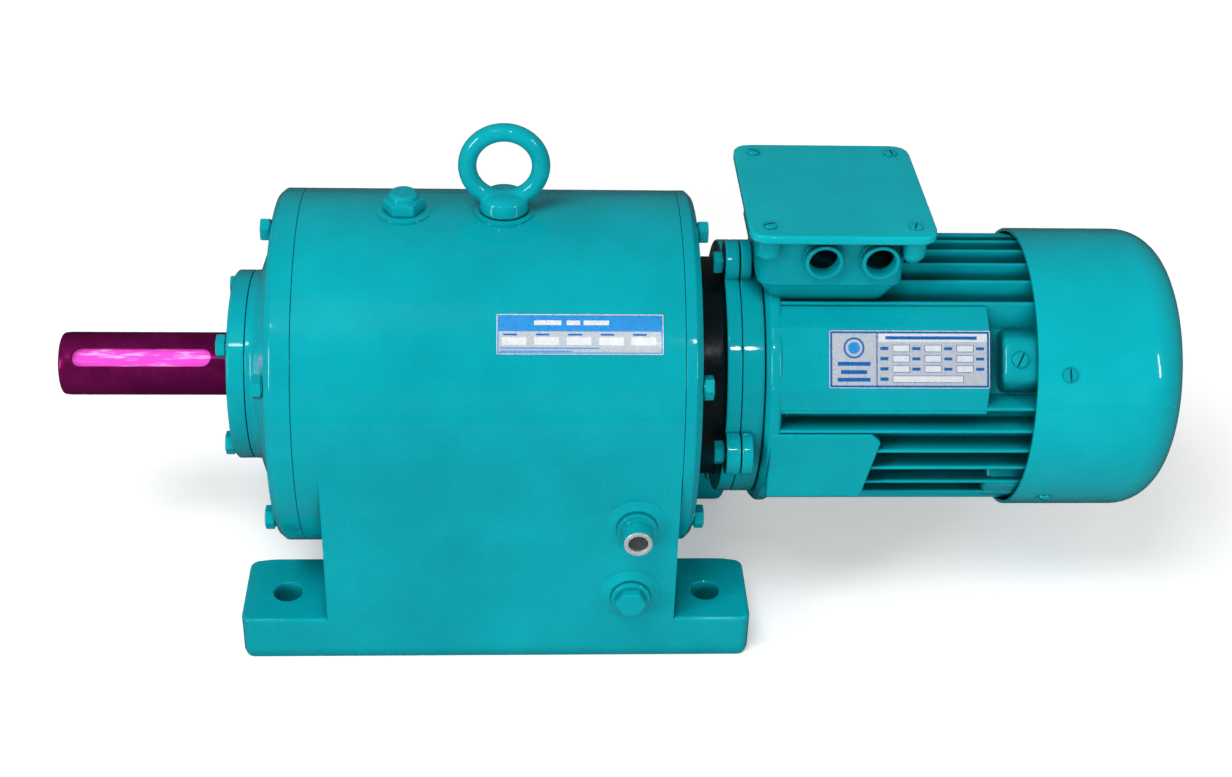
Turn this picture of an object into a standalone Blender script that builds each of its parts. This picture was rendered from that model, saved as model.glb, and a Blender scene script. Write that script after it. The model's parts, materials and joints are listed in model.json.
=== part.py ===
"""An inline helical gear motor: a two-stage gearbox on a cast pedestal, with a finned motor behind it.

The X axis runs along the shafts, from the output shaft to the fan cowl, and Z points up. The origin lies
on the ground under the middle of the base. Every length is in metres and every angle in degrees.
"""

import math

import bmesh
import bpy
from mathutils import Matrix, Vector

# Fits shared by all pieces.
CLEARANCE = 0.0003
OVERLAP = 0.001
STEP = 0.0002

# How round the turned pieces are.
LARGE_ROUND = 24
MEDIUM_ROUND = 20
SMALL_ROUND = 12
TINY_ROUND = 6
CORNER_STEPS = 3

# Gearbox casting.
AXIS_HEIGHT = 0.148
DRUM_RADIUS = 0.112
DRUM_FRONT = -0.120
DRUM_REAR = 0.111
PEDESTAL_FRONT = -0.106
CASTING_WALL = 0.010
CHAMBER_WALL = 0.0135
CAVITY_FLOOR = 0.014
COVER_BORE_WALL = 0.016
WEB_THICKNESS = 0.016
BASE_LENGTH = 0.320
BASE_THICKNESS = 0.030
BASE_EDGE = 0.006
FOOT_WIDTH = 0.060
FOOT_HOLE_RADIUS = 0.009
FOOT_HOLE_END = 0.027
FOOT_HOLE_SIDE = 0.0275

# Front cover, bearing cap and rear cover.
FRONT_FLANGE_THICKNESS = 0.016
FRONT_BOSS_RADIUS = 0.060
FRONT_BOSS_HEIGHT = 0.0172
FRONT_BOSS_STRAIGHT = 0.0043
FRONT_CONE_MIDDLE = (0.0095, 0.073)
FRONT_CONE_RADIUS = 0.086
CAP_THICKNESS = 0.011
CAP_LIP = 0.003
CAP_SPIGOT = 0.003
BEARING_SHOULDER = 0.034
SPIGOT_DEPTH = 0.008
SPIGOT_WALL = 0.012
REAR_COVER_THICKNESS = 0.0105
COVER_EDGE = 0.004
LAYSHAFT_BOSS_RADIUS = 0.0245

# Fasteners: shank radius, width across the flats of the head and its height.
BOLT_RADIUS = 0.004
BOLT_FLATS = 0.013
BOLT_HEAD = 0.0065
BOLT_BITE = 0.012
COVER_BOLT_INSET = 0.0095
COVER_BOLTS = 6
CAP_BOLT_CIRCLE = 0.051
CAP_BOLTS = 4
MOTOR_BOLT_CIRCLE = 0.083
MOTOR_BOLTS = 4
EAR_RADIUS = 0.014
EAR_THICKNESS = 0.0072

# Gear train.
CENTRE_DISTANCE = 0.070
FIRST_PINION_TEETH = 17
FIRST_WHEEL_TEETH = 53
SECOND_PINION_TEETH = 14
SECOND_WHEEL_TEETH = 42
PRESSURE_ANGLE = 20.0
HELIX_ANGLE = 15.0
ADDENDUM = 0.9
DEDENDUM = 1.25
BACKLASH = 0.00035
FIRST_WHEEL_WIDTH = 0.026
SECOND_WHEEL_WIDTH = 0.032
PINION_OVERHANG = 0.002
FIRST_STAGE_X = 0.053
SECOND_STAGE_X = -0.050
WHEEL_RIM = 0.007
WHEEL_WEB = 0.010

# Output shaft.
SHAFT_RADIUS = 0.020
SHAFT_FREE_LENGTH = 0.110
SHAFT_CHAMFER = 0.0025
KEYWAY_WIDTH = 0.012
KEYWAY_DEPTH = 0.005
KEYWAY_LENGTH = 0.087
KEYWAY_SETBACK = 0.008
KEYWAY_ANGLE = 135.0
OUTPUT_COLLAR_RADIUS = 0.027
OUTPUT_SEAT_RADIUS = 0.024
OUTPUT_HUB_RADIUS = 0.034
WHEEL_KEY_WIDTH = 0.014
WHEEL_KEY_HEIGHT = 0.009
WHEEL_KEY_SUNK = 0.0055

# Layshaft.
LAYSHAFT_SEAT_RADIUS = 0.013
LAYSHAFT_COLLAR_RADIUS = 0.016
LAYSHAFT_COLLAR_LENGTH = 0.008
LAYSHAFT_STEP_RADIUS = 0.0115
LAYSHAFT_HUB_RADIUS = 0.024
LAYSHAFT_PASSAGE = 0.024

# Rolling bearings: shaft radius, housing radius and width.
OUTPUT_FRONT_BEARING = (0.0225, 0.0425, 0.019)
OUTPUT_REAR_BEARING = (0.015, 0.031, WEB_THICKNESS)
LAYSHAFT_BEARING = (0.0085, 0.020, 0.012)
ROTOR_BEARING = (0.0125, 0.026, 0.015)
RING_SHARE = 0.3

# Oil seals: housing radius and width.
OUTPUT_SEAL = (0.031, 0.008)
INPUT_SEAL = (0.021, 0.007)

# Motor adapter and motor.
NECK_RADIUS = 0.070
NECK_BORE = 0.058
NECK_LENGTH = 0.017
FLANGE_RADIUS = 0.081
ADAPTER_FLANGE = 0.009
ENDSHIELD_FLANGE = 0.0137
FRAME_CORE_RADIUS = 0.072
FRAME_WALL = 0.010
FRAME_COLLAR_RISE = 0.015
FRAME_COLLAR_LENGTH = 0.009
FRAME_LENGTH = 0.1727
FIN_HEIGHT = 0.0145
FIN_THICKNESS = 0.0026
SIDE_FIN_PITCH = 0.0146
TOP_FIN_PITCH = 0.0143
SIDE_FIN_PLACES = (-3.5, -2.5, -1.5, -0.5, 0.5, 1.5)
TOP_FIN_PLACES = (-3, -2, -1, 0, 1, 2, 3)
PAD_ANGLE = 35.5
PAD_RISE = 0.0135
PAD_HALF_WIDTH = 0.019
PAD_FLANK = 0.033
PAD_FLANK_RISE = 0.007
PAD_LENGTH = 0.136
LUG_RISE = 0.001
LUG_HALF_WIDTH = 0.022
COWL_SCREW_RADIUS = 0.009
FOOT_PAD_RISE = 0.0155
FOOT_PAD_LOW = -0.041
FOOT_PAD_HIGH = 0.006
FOOT_PAD_LENGTH = 0.068
FOOT_PAD_SLOPE = 0.009
FOOT_PAD_CORNER = 0.006
REAR_SHIELD_THICKNESS = 0.008

# Stator, rotor and fan.
STATOR_WALL = 0.024
STATOR_START = 0.030
STATOR_LENGTH = 0.100
WINDING_LENGTH = 0.018
WINDING_INSET = 0.006
AIR_GAP = 0.0005
ROTOR_SHAFT_RADIUS = 0.015
FAN_SEAT_RADIUS = 0.010
FAN_TIP_GAP = 0.0135
FAN_HUB_RADIUS = 0.019
FAN_WIDTH = 0.026
FAN_PLATE = 0.003
FAN_PLATE_RADIUS = 0.056
FAN_BLADES = 8
FAN_SETBACK = 0.014

# Fan cowl.
COWL_AIR_GAP = 0.003
COWL_SHEET = 0.002
COWL_OVERLAP = 0.008
COWL_LENGTH = 0.097
COWL_SHOULDER = 0.028
GRILLE_RINGS = ((0.022, 0.034, 8), (0.039, 0.053, 12))
GRILLE_SLOT = 0.005

# Terminal box.
BOX_SEAT_RISE = 0.016
BOX_START = 0.156
BOX_LENGTH = 0.088
BOX_HALF_WIDTH = 0.048
BOX_HEIGHT = 0.0342
BOX_WALL = 0.004
BOX_CORNER = 0.007
LID_FRONT_OVERHANG = 0.008
LID_REAR_OVERHANG = 0.016
LID_SIDE_OVERHANG = 0.012
LID_THICKNESS = 0.0058
LID_CORNER = 0.012
LID_SCREW_INSET = 0.0125
LID_BOSS_RADIUS = 0.0075
LID_BOSS_DEPTH = 0.016
CABLE_ENTRY_RADIUS = 0.009
CABLE_BOSS_RADIUS = 0.0115
CABLE_BOSS_LENGTH = 0.006
CABLE_ENTRY_HEIGHT = 0.019
CABLE_ENTRY_SETBACK = 0.016
CABLE_ENTRY_SPACING = 0.034
WIRE_HOLE_RADIUS = 0.012
BOARD_SIZE = (0.040, 0.028, 0.006)
STUD_RADIUS = 0.0025
STUD_HEIGHT = 0.014
STUD_SPACING = (0.012, 0.014)

# Eye bolt, breather, sight glass and drain plug.
EYE_BOLT_X = 0.004
EYE_RING_RADIUS = 0.0222
EYE_WIRE_RADIUS = 0.0056
EYE_WIRE_ROUND = 8
EYE_COLLAR_RADIUS = 0.015
EYE_COLLAR_HEIGHT = 0.010
EYE_NECK_RADIUS = 0.009
EYE_SHANK_RADIUS = 0.006
SPOT_HEIGHT = 0.0008
BREATHER_X = -0.057
BREATHER_FLATS = 0.022
BREATHER_SHANK_RADIUS = 0.0065
BREATHER_HEX_HEIGHT = 0.007
BREATHER_CAP_RADIUS = 0.009
BREATHER_CAP_TOP = 0.0115
BREATHER_CAP_EDGE = 0.0015
SIGHT_GLASS_X = 0.085
SIGHT_GLASS_Z = 0.104
SIGHT_GLASS_RADIUS = 0.0087
SIGHT_GLASS_BORE = 0.006
SIGHT_GLASS_RECESS = 0.004
SIGHT_WINDOW_THICKNESS = 0.0027
SIGHT_GLASS_LENGTH = 0.016
DRAIN_PLUG_X = 0.083
DRAIN_PLUG_Z = 0.050
PLUG_BOSS_RADIUS = 0.015
PLUG_BOSS_HEIGHT = 0.0025
PLUG_COLLAR = 0.003
PLUG_COLLAR_RADIUS = 0.0122
PLUG_FLATS = 0.017
PLUG_HEIGHT = 0.009
PLUG_SHANK_RADIUS = 0.008

# Places along X that follow from the sizes above.
FRONT_FLANGE_BACK = DRUM_FRONT - CLEARANCE
FRONT_FLANGE_FACE = FRONT_FLANGE_BACK - FRONT_FLANGE_THICKNESS
FRONT_BOSS_FACE = FRONT_FLANGE_FACE - FRONT_BOSS_HEIGHT
CAP_BACK = FRONT_BOSS_FACE - CLEARANCE
CAP_FACE = CAP_BACK - CAP_THICKNESS
SHAFT_END = CAP_FACE - SHAFT_FREE_LENGTH
FRONT_BEARING_START = FRONT_BOSS_FACE + CAP_SPIGOT
FRONT_BEARING_END = FRONT_BEARING_START + OUTPUT_FRONT_BEARING[2]
FRONT_SPIGOT_END = DRUM_FRONT + SPIGOT_DEPTH
REAR_COVER_START = DRUM_REAR + CLEARANCE
REAR_COVER_FACE = REAR_COVER_START + REAR_COVER_THICKNESS
REAR_SPIGOT_END = DRUM_REAR - SPIGOT_DEPTH
LAYSHAFT_START = FRONT_SPIGOT_END
LAYSHAFT_END = REAR_SPIGOT_END
LAYSHAFT_HEIGHT = AXIS_HEIGHT - CENTRE_DISTANCE
ADAPTER_START = REAR_COVER_FACE + CLEARANCE
ADAPTER_FLANGE_START = ADAPTER_START + NECK_LENGTH
ADAPTER_END = ADAPTER_FLANGE_START + ADAPTER_FLANGE
ENDSHIELD_START = ADAPTER_END + CLEARANCE
ENDSHIELD_END = ENDSHIELD_START + ENDSHIELD_FLANGE
FRAME_START = ENDSHIELD_END + CLEARANCE
FRAME_END = FRAME_START + FRAME_LENGTH
REAR_SHIELD_START = FRAME_END + CLEARANCE
REAR_SHIELD_END = REAR_SHIELD_START + REAR_SHIELD_THICKNESS
FRONT_ROTOR_BEARING = ENDSHIELD_END + CLEARANCE
REAR_ROTOR_BEARING = FRAME_END - ROTOR_BEARING[2]
FAN_START = REAR_SHIELD_END + FAN_SETBACK
COWL_START = FRAME_END - COWL_OVERLAP
COWL_END = COWL_START + COWL_LENGTH
BOX_END = BOX_START + BOX_LENGTH
BOX_CENTRE = (BOX_START + BOX_END) / 2
LID_START = BOX_START - LID_FRONT_OVERHANG
LID_LENGTH = BOX_END + LID_REAR_OVERHANG - LID_START
LID_CENTRE = LID_START + LID_LENGTH / 2
CABLE_ENTRY_X = (BOX_END - CABLE_ENTRY_SETBACK - CABLE_ENTRY_SPACING, BOX_END - CABLE_ENTRY_SETBACK)

# Radii, widths and heights that follow from the sizes above.
CHAMBER_RADIUS = DRUM_RADIUS - CHAMBER_WALL
COVER_BORE_RADIUS = DRUM_RADIUS - COVER_BORE_WALL
COVER_BOLT_CIRCLE = DRUM_RADIUS - COVER_BOLT_INSET
FRAME_BORE = FRAME_CORE_RADIUS - FRAME_WALL
FRAME_COLLAR_RADIUS = FRAME_CORE_RADIUS + FRAME_COLLAR_RISE
FIN_RADIUS = FRAME_CORE_RADIUS + FIN_HEIGHT
PAD_HEIGHT = FRAME_CORE_RADIUS + PAD_RISE
PAD_FLANK_HEIGHT = FRAME_CORE_RADIUS + PAD_FLANK_RISE
FOOT_PAD_FACE = FRAME_CORE_RADIUS + FOOT_PAD_RISE
STATOR_BORE = FRAME_BORE - STATOR_WALL
WINDING_OUTER = FRAME_BORE - WINDING_INSET
COWL_RADIUS = FIN_RADIUS + COWL_AIR_GAP
FAN_RADIUS = COWL_RADIUS - COWL_SHEET - FAN_TIP_GAP
LID_WIDTH = 2 * (BOX_HALF_WIDTH + LID_SIDE_OVERHANG)
BOX_SEAT_HEIGHT = FRAME_CORE_RADIUS + BOX_SEAT_RISE
BOX_FLOOR_HEIGHT = AXIS_HEIGHT + BOX_SEAT_HEIGHT + CLEARANCE
BOX_TOP = BOX_FLOOR_HEIGHT + BOX_HEIGHT
LID_BOTTOM = BOX_TOP + CLEARANCE

# Finishes: base colour, metallic value and roughness.
TEAL_PAINT = ((0.006, 0.36, 0.43), 0.0, 0.35)
SHAFT_LACQUER = ((0.13, 0.004, 0.07), 0.6, 0.3)
BARE_STEEL = ((0.55, 0.56, 0.58), 1.0, 0.35)
BEARING_STEEL = ((0.65, 0.66, 0.68), 1.0, 0.2)
BLACK_RUBBER = ((0.015, 0.015, 0.015), 0.0, 0.6)
LAMINATED_STEEL = ((0.20, 0.21, 0.22), 0.9, 0.5)
FAN_PLASTIC = ((0.03, 0.03, 0.035), 0.0, 0.55)
MOULDED_BLACK = ((0.02, 0.02, 0.02), 0.0, 0.4)
DARK_GLASS = ((0.05, 0.06, 0.06), 0.0, 0.05)
CHROME = ((0.8, 0.8, 0.82), 1.0, 0.12)

# Turns that lay an object's own Z axis along the shafts, or out of the front of the housing.
ALONG_X = (0.0, math.radians(90.0), 0.0)
TO_FRONT = (math.radians(90.0), 0.0, 0.0)
UPRIGHT = (0.0, 0.0, 0.0)
SHARP_EDGE = math.radians(32.0)
FLAT_ANGLE = math.radians(0.05)
WELD_DISTANCE = 0.00001

COLLECTION_NAME = "helical_gear_motor"


def start_scene():
    """Empties the scene and adds the two collections."""
    for item in list(bpy.data.objects):
        bpy.data.objects.remove(item, do_unlink=True)
    for name in (COLLECTION_NAME, "cutters"):
        bpy.context.scene.collection.children.link(bpy.data.collections.new(name))


def finish_material(name, finish):
    """A Principled material with the finish's colour, metallic value and roughness."""
    colour, metallic, roughness = finish
    material = bpy.data.materials.new(name)
    material.use_nodes = True
    shader = material.node_tree.nodes["Principled BSDF"]
    shader.inputs["Base Color"].default_value = (*colour, 1.0)
    shader.inputs["Metallic"].default_value = metallic
    shader.inputs["Roughness"].default_value = roughness
    return material


def place(name, mesh, finish, location, turn=UPRIGHT):
    """Puts a mesh in the scene: a part when it has a finish, otherwise a hidden cutter."""
    item = bpy.data.objects.new(name, mesh)
    item.location = location
    item.rotation_euler = turn
    if finish is None:
        bpy.data.collections["cutters"].objects.link(item)
        item.hide_render = True
        item.display_type = "WIRE"
        return item
    bpy.data.collections[COLLECTION_NAME].objects.link(item)
    if not mesh.materials:
        mesh.materials.append(finish_material(name, finish))
    return item


def evaluated_mesh(item, fix_facing=False):
    """The object's shape with its modifiers, as a welded mesh that shades smooth between sharp edges."""
    bpy.context.view_layer.update()
    graph = bpy.context.evaluated_depsgraph_get()
    mesh = bpy.data.meshes.new_from_object(item.evaluated_get(graph))
    solid = bmesh.new()
    solid.from_mesh(mesh)
    bmesh.ops.remove_doubles(solid, verts=solid.verts, dist=WELD_DISTANCE)
    bmesh.ops.dissolve_degenerate(solid, edges=solid.edges, dist=WELD_DISTANCE)
    bmesh.ops.dissolve_limit(solid, angle_limit=FLAT_ANGLE, verts=solid.verts, edges=solid.edges)
    if fix_facing:
        bmesh.ops.recalc_face_normals(solid, faces=solid.faces)
    solid.to_mesh(mesh)
    solid.free()
    mesh.shade_smooth()
    mesh.set_sharp_from_angle(angle=SHARP_EDGE)
    return mesh


def made_solid(item, name, finish, location, turn):
    """Swaps a helper object for a mesh object with the same shape."""
    mesh = evaluated_mesh(item, fix_facing=True)
    bpy.data.objects.remove(item, do_unlink=True)
    mesh.name = name
    return place(name, mesh, finish, location, turn)


def clockwise(points):
    """The outline in clockwise order, which a turned shape needs to have its faces point out."""
    twice_area = sum(a[0] * b[1] - b[0] * a[1] for a, b in zip(points, points[1:] + points[:1]))
    return points if twice_area < 0 else points[::-1]


def turned(name, half_section, finish, x=0.0, y=0.0, z=AXIS_HEIGHT, turn=ALONG_X, rounds=LARGE_ROUND):
    """Turns a half section, given as (along the axis, radius), around the object's own Z axis.

    A section whose two ends lie on the axis is solid there, and any other one makes a ring.
    """
    points = clockwise([(radius, along) for along, radius in half_section])
    on_axis = [index for index, point in enumerate(points) if point[0] == 0.0]
    if on_axis:
        first = on_axis[-1] if on_axis == [0, len(points) - 1] else on_axis[0]
        points = points[first:] + points[:first]
        points = points if points[-1][0] == 0.0 else points[1:] + points[:1]
    mesh = bpy.data.meshes.new(name)
    edges = [(index, index + 1) for index in range(len(points) - 1)]
    if not on_axis:
        edges.append((len(points) - 1, 0))
    mesh.from_pydata([(radius, 0.0, along) for radius, along in points], edges, [])
    item = place(name, mesh, None, (0.0, 0.0, 0.0))
    screw = item.modifiers.new("turn", "SCREW")
    screw.steps = rounds
    screw.render_steps = rounds
    screw.use_merge_vertices = True
    screw.merge_threshold = WELD_DISTANCE
    return made_solid(item, name, finish, (x, y, z), turn)


def cylinder(name, radius, start, end, finish=None, rounds=SMALL_ROUND, **place_at):
    """A plain round bar or hole between two places along its axis."""
    section = [(start, 0.0), (start, radius), (end, radius), (end, 0.0)]
    return turned(name, section, finish, rounds=rounds, **place_at)


def ring(name, inner, outer, start, end, finish=None, rounds=MEDIUM_ROUND, **place_at):
    """A plain ring between two places along its axis."""
    section = [(start, inner), (start, outer), (end, outer), (end, inner)]
    return turned(name, section, finish, rounds=rounds, **place_at)


def slab(name, outline, thickness, finish, location, turn=UPRIGHT):
    """A flat outline made into a plate of the given thickness, centred on its location."""
    curve = bpy.data.curves.new(name, "CURVE")
    curve.dimensions = "2D"
    curve.fill_mode = "BOTH"
    curve.extrude = thickness / 2
    line = curve.splines.new("POLY")
    line.points.add(len(outline) - 1)
    for point, (u, v) in zip(line.points, outline):
        point.co = (u, v, 0.0, 1.0)
    line.use_cyclic_u = True
    item = bpy.data.objects.new(name, curve)
    bpy.data.collections["cutters"].objects.link(item)
    return made_solid(item, name, finish, location, turn)


def block(name, low, high, finish=None):
    """A box between two opposite corners."""
    solid = bmesh.new()
    bmesh.ops.create_cube(solid, size=1.0)
    size = Vector(high) - Vector(low)
    bmesh.ops.scale(solid, vec=size, verts=solid.verts)
    mesh = bpy.data.meshes.new(name)
    solid.to_mesh(mesh)
    solid.free()
    return place(name, mesh, finish, (Vector(low) + Vector(high)) / 2)


def merged(name, items):
    """One cutter out of several that don't touch each other."""
    solid = bmesh.new()
    for item in items:
        item.data.transform(item.matrix_basis)
        solid.from_mesh(item.data)
        bpy.data.objects.remove(item, do_unlink=True)
    mesh = bpy.data.meshes.new(name)
    solid.to_mesh(mesh)
    solid.free()
    return place(name, mesh, None, (0.0, 0.0, 0.0))


def boolean(target, operation, other):
    """Joins or cuts the target with another object, which is used up, and keeps the clean result."""
    modifier = target.modifiers.new(other.name, "BOOLEAN")
    modifier.operation = operation
    modifier.solver = "EXACT"
    modifier.object = other
    mesh = evaluated_mesh(target)
    target.modifiers.clear()
    target.data = mesh
    bpy.data.objects.remove(other, do_unlink=True)


def cut(target, *cutters):
    for cutter in cutters:
        boolean(target, "DIFFERENCE", cutter)


def join(target, *others):
    for other in others:
        boolean(target, "UNION", other)


def round_edges(item, width, segments=2):
    """Rounds the sharp edges of an object."""
    bevel = item.modifiers.new("rounded edges", "BEVEL")
    bevel.width = width
    bevel.segments = segments
    bevel.limit_method = "ANGLE"
    bevel.angle_limit = SHARP_EDGE


def arc(centre, radius, start, end, steps):
    """Points on an arc between two angles, both ends included."""
    turns = [math.radians(start + (end - start) * step / steps) for step in range(steps + 1)]
    return [(centre[0] + radius * math.cos(a), centre[1] + radius * math.sin(a)) for a in turns]


def rounded_rectangle(length, width, corner):
    """The outline of a rectangle with round corners, centred on zero."""
    across = length / 2 - corner
    up = width / 2 - corner
    outline = arc((across, up), corner, 0.0, 90.0, CORNER_STEPS)
    outline += arc((-across, up), corner, 90.0, 180.0, CORNER_STEPS)
    outline += arc((-across, -up), corner, 180.0, 270.0, CORNER_STEPS)
    return outline + arc((across, -up), corner, 270.0, 360.0, CORNER_STEPS)


def on_circle(radius, angle, height=AXIS_HEIGHT):
    """The (y, z) place at a radius and an angle around the main axis, seen from the front along +X."""
    turn = math.radians(angle)
    return radius * math.cos(turn), height + radius * math.sin(turn)


def spaced_angles(count, first):
    return [first + 360.0 * index / count for index in range(count)]


COVER_BOLT_ANGLES = spaced_angles(COVER_BOLTS, 94.5)
CAP_BOLT_ANGLES = spaced_angles(CAP_BOLTS, 45.0)
MOTOR_BOLT_ANGLES = spaced_angles(MOTOR_BOLTS, 97.0)


def bolt_holes(target, circle, angles, radius, start, end):
    """Cuts a ring of bolt holes through a target, between two places along X."""
    holes = []
    for angle in angles:
        y, z = on_circle(circle, angle)
        holes.append(cylinder("hole", radius, start, end, rounds=TINY_ROUND, y=y, z=z))
    cut(target, merged(f"{target.name}_bolt_holes", holes))


def join_base(housing):
    """Adds the base: a rail with round edges under each side, and a floor between the rails."""
    half_length = BASE_LENGTH / 2
    inner = DRUM_RADIUS - FOOT_WIDTH
    for name, low, high in (("near_rail", -DRUM_RADIUS, -inner), ("far_rail", inner, DRUM_RADIUS)):
        rail = block(name, (-half_length, low, 0.0), (half_length, high, BASE_THICKNESS))
        rail.data.transform(rail.matrix_basis)
        rail.location = (0.0, 0.0, 0.0)
        round_edges(rail, BASE_EDGE)
        join(housing, rail)
    reach = inner + 2 * BASE_EDGE
    low = (PEDESTAL_FRONT + STEP, -reach, 0.0)
    join(housing, block("base_floor", low, (DRUM_REAR - 3 * STEP, reach, BASE_THICKNESS / 2 + OVERLAP)))


def hollow(name, start, end):
    """The two overlapping shapes of one gear chamber: a round one on top of a square one."""
    half = CHAMBER_RADIUS - STEP
    low = (start + STEP, -half, CAVITY_FLOOR)
    return (
        cylinder(f"{name}_round", CHAMBER_RADIUS, start, end, rounds=LARGE_ROUND),
        block(f"{name}_square", low, (end - STEP, half, AXIS_HEIGHT)),
    )


def housing_bosses():
    """The low round bosses that the plugs, the eye bolt and the breather sit on."""
    front = DRUM_RADIUS + PLUG_BOSS_HEIGHT
    top = DRUM_RADIUS + SPOT_HEIGHT
    low_front = front - CASTING_WALL
    low_top = top - CASTING_WALL
    at_front = {"turn": TO_FRONT, "rounds": SMALL_ROUND}
    on_top = {"turn": UPRIGHT, "rounds": SMALL_ROUND}
    return merged("housing_bosses", [
        cylinder("boss", PLUG_BOSS_RADIUS, low_front, front, x=SIGHT_GLASS_X, z=SIGHT_GLASS_Z, **at_front),
        cylinder("boss", PLUG_BOSS_RADIUS, low_front, front, x=DRAIN_PLUG_X, z=DRAIN_PLUG_Z, **at_front),
        cylinder("boss", EYE_COLLAR_RADIUS, low_top, top, x=EYE_BOLT_X, **on_top),
        cylinder("boss", PLUG_BOSS_RADIUS, low_top, top, x=BREATHER_X, **on_top),
    ])


def housing_plug_holes():
    """The holes for the plugs, the eye bolt and the breather."""
    start = DRUM_RADIUS - 2 * CASTING_WALL
    end = DRUM_RADIUS + CASTING_WALL
    front = {"turn": TO_FRONT}
    top = {"turn": UPRIGHT}
    return merged("plug_holes", [
        cylinder("hole", PLUG_SHANK_RADIUS, start, end, x=SIGHT_GLASS_X, z=SIGHT_GLASS_Z, **front),
        cylinder("hole", PLUG_SHANK_RADIUS, start, end, x=DRAIN_PLUG_X, z=DRAIN_PLUG_Z, **front),
        cylinder("hole", EYE_SHANK_RADIUS, start, end, x=EYE_BOLT_X, **top),
        cylinder("hole", BREATHER_SHANK_RADIUS, start, end, x=BREATHER_X, **top),
    ])


def foot_holes():
    """The four bolt holes in the lugs of the base."""
    end = BASE_THICKNESS + OVERLAP
    holes = []
    reach_x, reach_y = BASE_LENGTH / 2 - FOOT_HOLE_END, DRUM_RADIUS - FOOT_HOLE_SIDE
    for x in (-reach_x, reach_x):
        for y in (-reach_y, reach_y):
            holes.append(cylinder("hole", FOOT_HOLE_RADIUS, -OVERLAP, end, x=x, y=y, z=0.0, turn=UPRIGHT))
    return merged("foot_holes", holes)


def make_gear_housing():
    """Drum, pedestal and base in one casting, hollow, with a web between the two gear stages."""
    housing = cylinder("gear_housing", DRUM_RADIUS, DRUM_FRONT, DRUM_REAR, TEAL_PAINT, LARGE_ROUND)
    half = DRUM_RADIUS - STEP
    pedestal_low = (PEDESTAL_FRONT, -half, BASE_THICKNESS / 2)
    join(housing, block("pedestal", pedestal_low, (DRUM_REAR - 2 * STEP, half, AXIS_HEIGHT)))
    join_base(housing)
    join(housing, housing_bosses())
    half_web = WEB_THICKNESS / 2
    cut(
        housing,
        cylinder("front_bore", COVER_BORE_RADIUS, DRUM_FRONT - OVERLAP, -CASTING_WALL, rounds=LARGE_ROUND),
        cylinder("rear_bore", COVER_BORE_RADIUS, CASTING_WALL, DRUM_REAR + OVERLAP, rounds=LARGE_ROUND),
        *hollow("front_cavity", PEDESTAL_FRONT + CASTING_WALL, -half_web),
        *hollow("rear_cavity", half_web, DRUM_REAR - CASTING_WALL),
    )
    bore = OUTPUT_REAR_BEARING[1] + CLEARANCE
    reach = WEB_THICKNESS
    cut(housing, merged("web_holes", [
        cylinder("bore", bore, -reach, reach, rounds=MEDIUM_ROUND),
        cylinder("passage", LAYSHAFT_PASSAGE, -reach, reach, z=LAYSHAFT_HEIGHT),
    ]))
    cut(housing, housing_plug_holes(), foot_holes())
    hole = BOLT_RADIUS + CLEARANCE
    depth = BOLT_BITE + 2 * CLEARANCE
    bolt_holes(housing, COVER_BOLT_CIRCLE, COVER_BOLT_ANGLES, hole, DRUM_FRONT - OVERLAP, DRUM_FRONT + depth)
    bolt_holes(housing, COVER_BOLT_CIRCLE, COVER_BOLT_ANGLES, hole, DRUM_REAR - depth, DRUM_REAR + OVERLAP)


def layshaft_boss(name, start, end):
    """A round boss on the inside of a cover, around a layshaft bearing."""
    return cylinder(name, LAYSHAFT_BOSS_RADIUS, start, end, z=LAYSHAFT_HEIGHT, rounds=MEDIUM_ROUND)


def layshaft_pocket(start, end):
    """The blind hole that a layshaft bearing sits in."""
    return cylinder("layshaft_pocket", LAYSHAFT_BEARING[1] + CLEARANCE, start, end, z=LAYSHAFT_HEIGHT)


def make_front_cover():
    """Flange, cone and bearing boss, with the front bearing's bore and the layshaft's bearing boss inside."""
    bearing = OUTPUT_FRONT_BEARING[1] + CLEARANCE
    spigot = COVER_BORE_RADIUS - CLEARANCE
    bearing_end = FRONT_BEARING_END + CLEARANCE
    cone_depth, cone_radius = FRONT_CONE_MIDDLE
    section = [
        (FRONT_BOSS_FACE, bearing), (FRONT_BOSS_FACE, FRONT_BOSS_RADIUS),
        (FRONT_BOSS_FACE + FRONT_BOSS_STRAIGHT, FRONT_BOSS_RADIUS),
        (FRONT_BOSS_FACE + cone_depth, cone_radius), (FRONT_FLANGE_FACE, FRONT_CONE_RADIUS),
        (FRONT_FLANGE_FACE, DRUM_RADIUS - COVER_EDGE), (FRONT_FLANGE_FACE + COVER_EDGE, DRUM_RADIUS),
        (FRONT_FLANGE_BACK, DRUM_RADIUS), (FRONT_FLANGE_BACK, spigot),
        (FRONT_SPIGOT_END, spigot), (FRONT_SPIGOT_END, BEARING_SHOULDER),
        (bearing_end, BEARING_SHOULDER), (bearing_end, bearing),
    ]
    cover = turned("front_cover", section, TEAL_PAINT)
    boss_end = FRONT_SPIGOT_END + LAYSHAFT_BEARING[2]
    join(cover, layshaft_boss("front_layshaft_boss", FRONT_SPIGOT_END - OVERLAP, boss_end))
    cut(cover, layshaft_pocket(LAYSHAFT_START - CLEARANCE, boss_end + OVERLAP))
    hole = BOLT_RADIUS + CLEARANCE
    flange_start, flange_end = FRONT_FLANGE_FACE - OVERLAP, DRUM_FRONT + OVERLAP
    bolt_holes(cover, COVER_BOLT_CIRCLE, COVER_BOLT_ANGLES, hole, flange_start, flange_end)
    tapped_end = FRONT_BOSS_FACE + BOLT_BITE + 2 * CLEARANCE
    bolt_holes(cover, CAP_BOLT_CIRCLE, CAP_BOLT_ANGLES, hole, FRONT_BOSS_FACE - OVERLAP, tapped_end)


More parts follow.
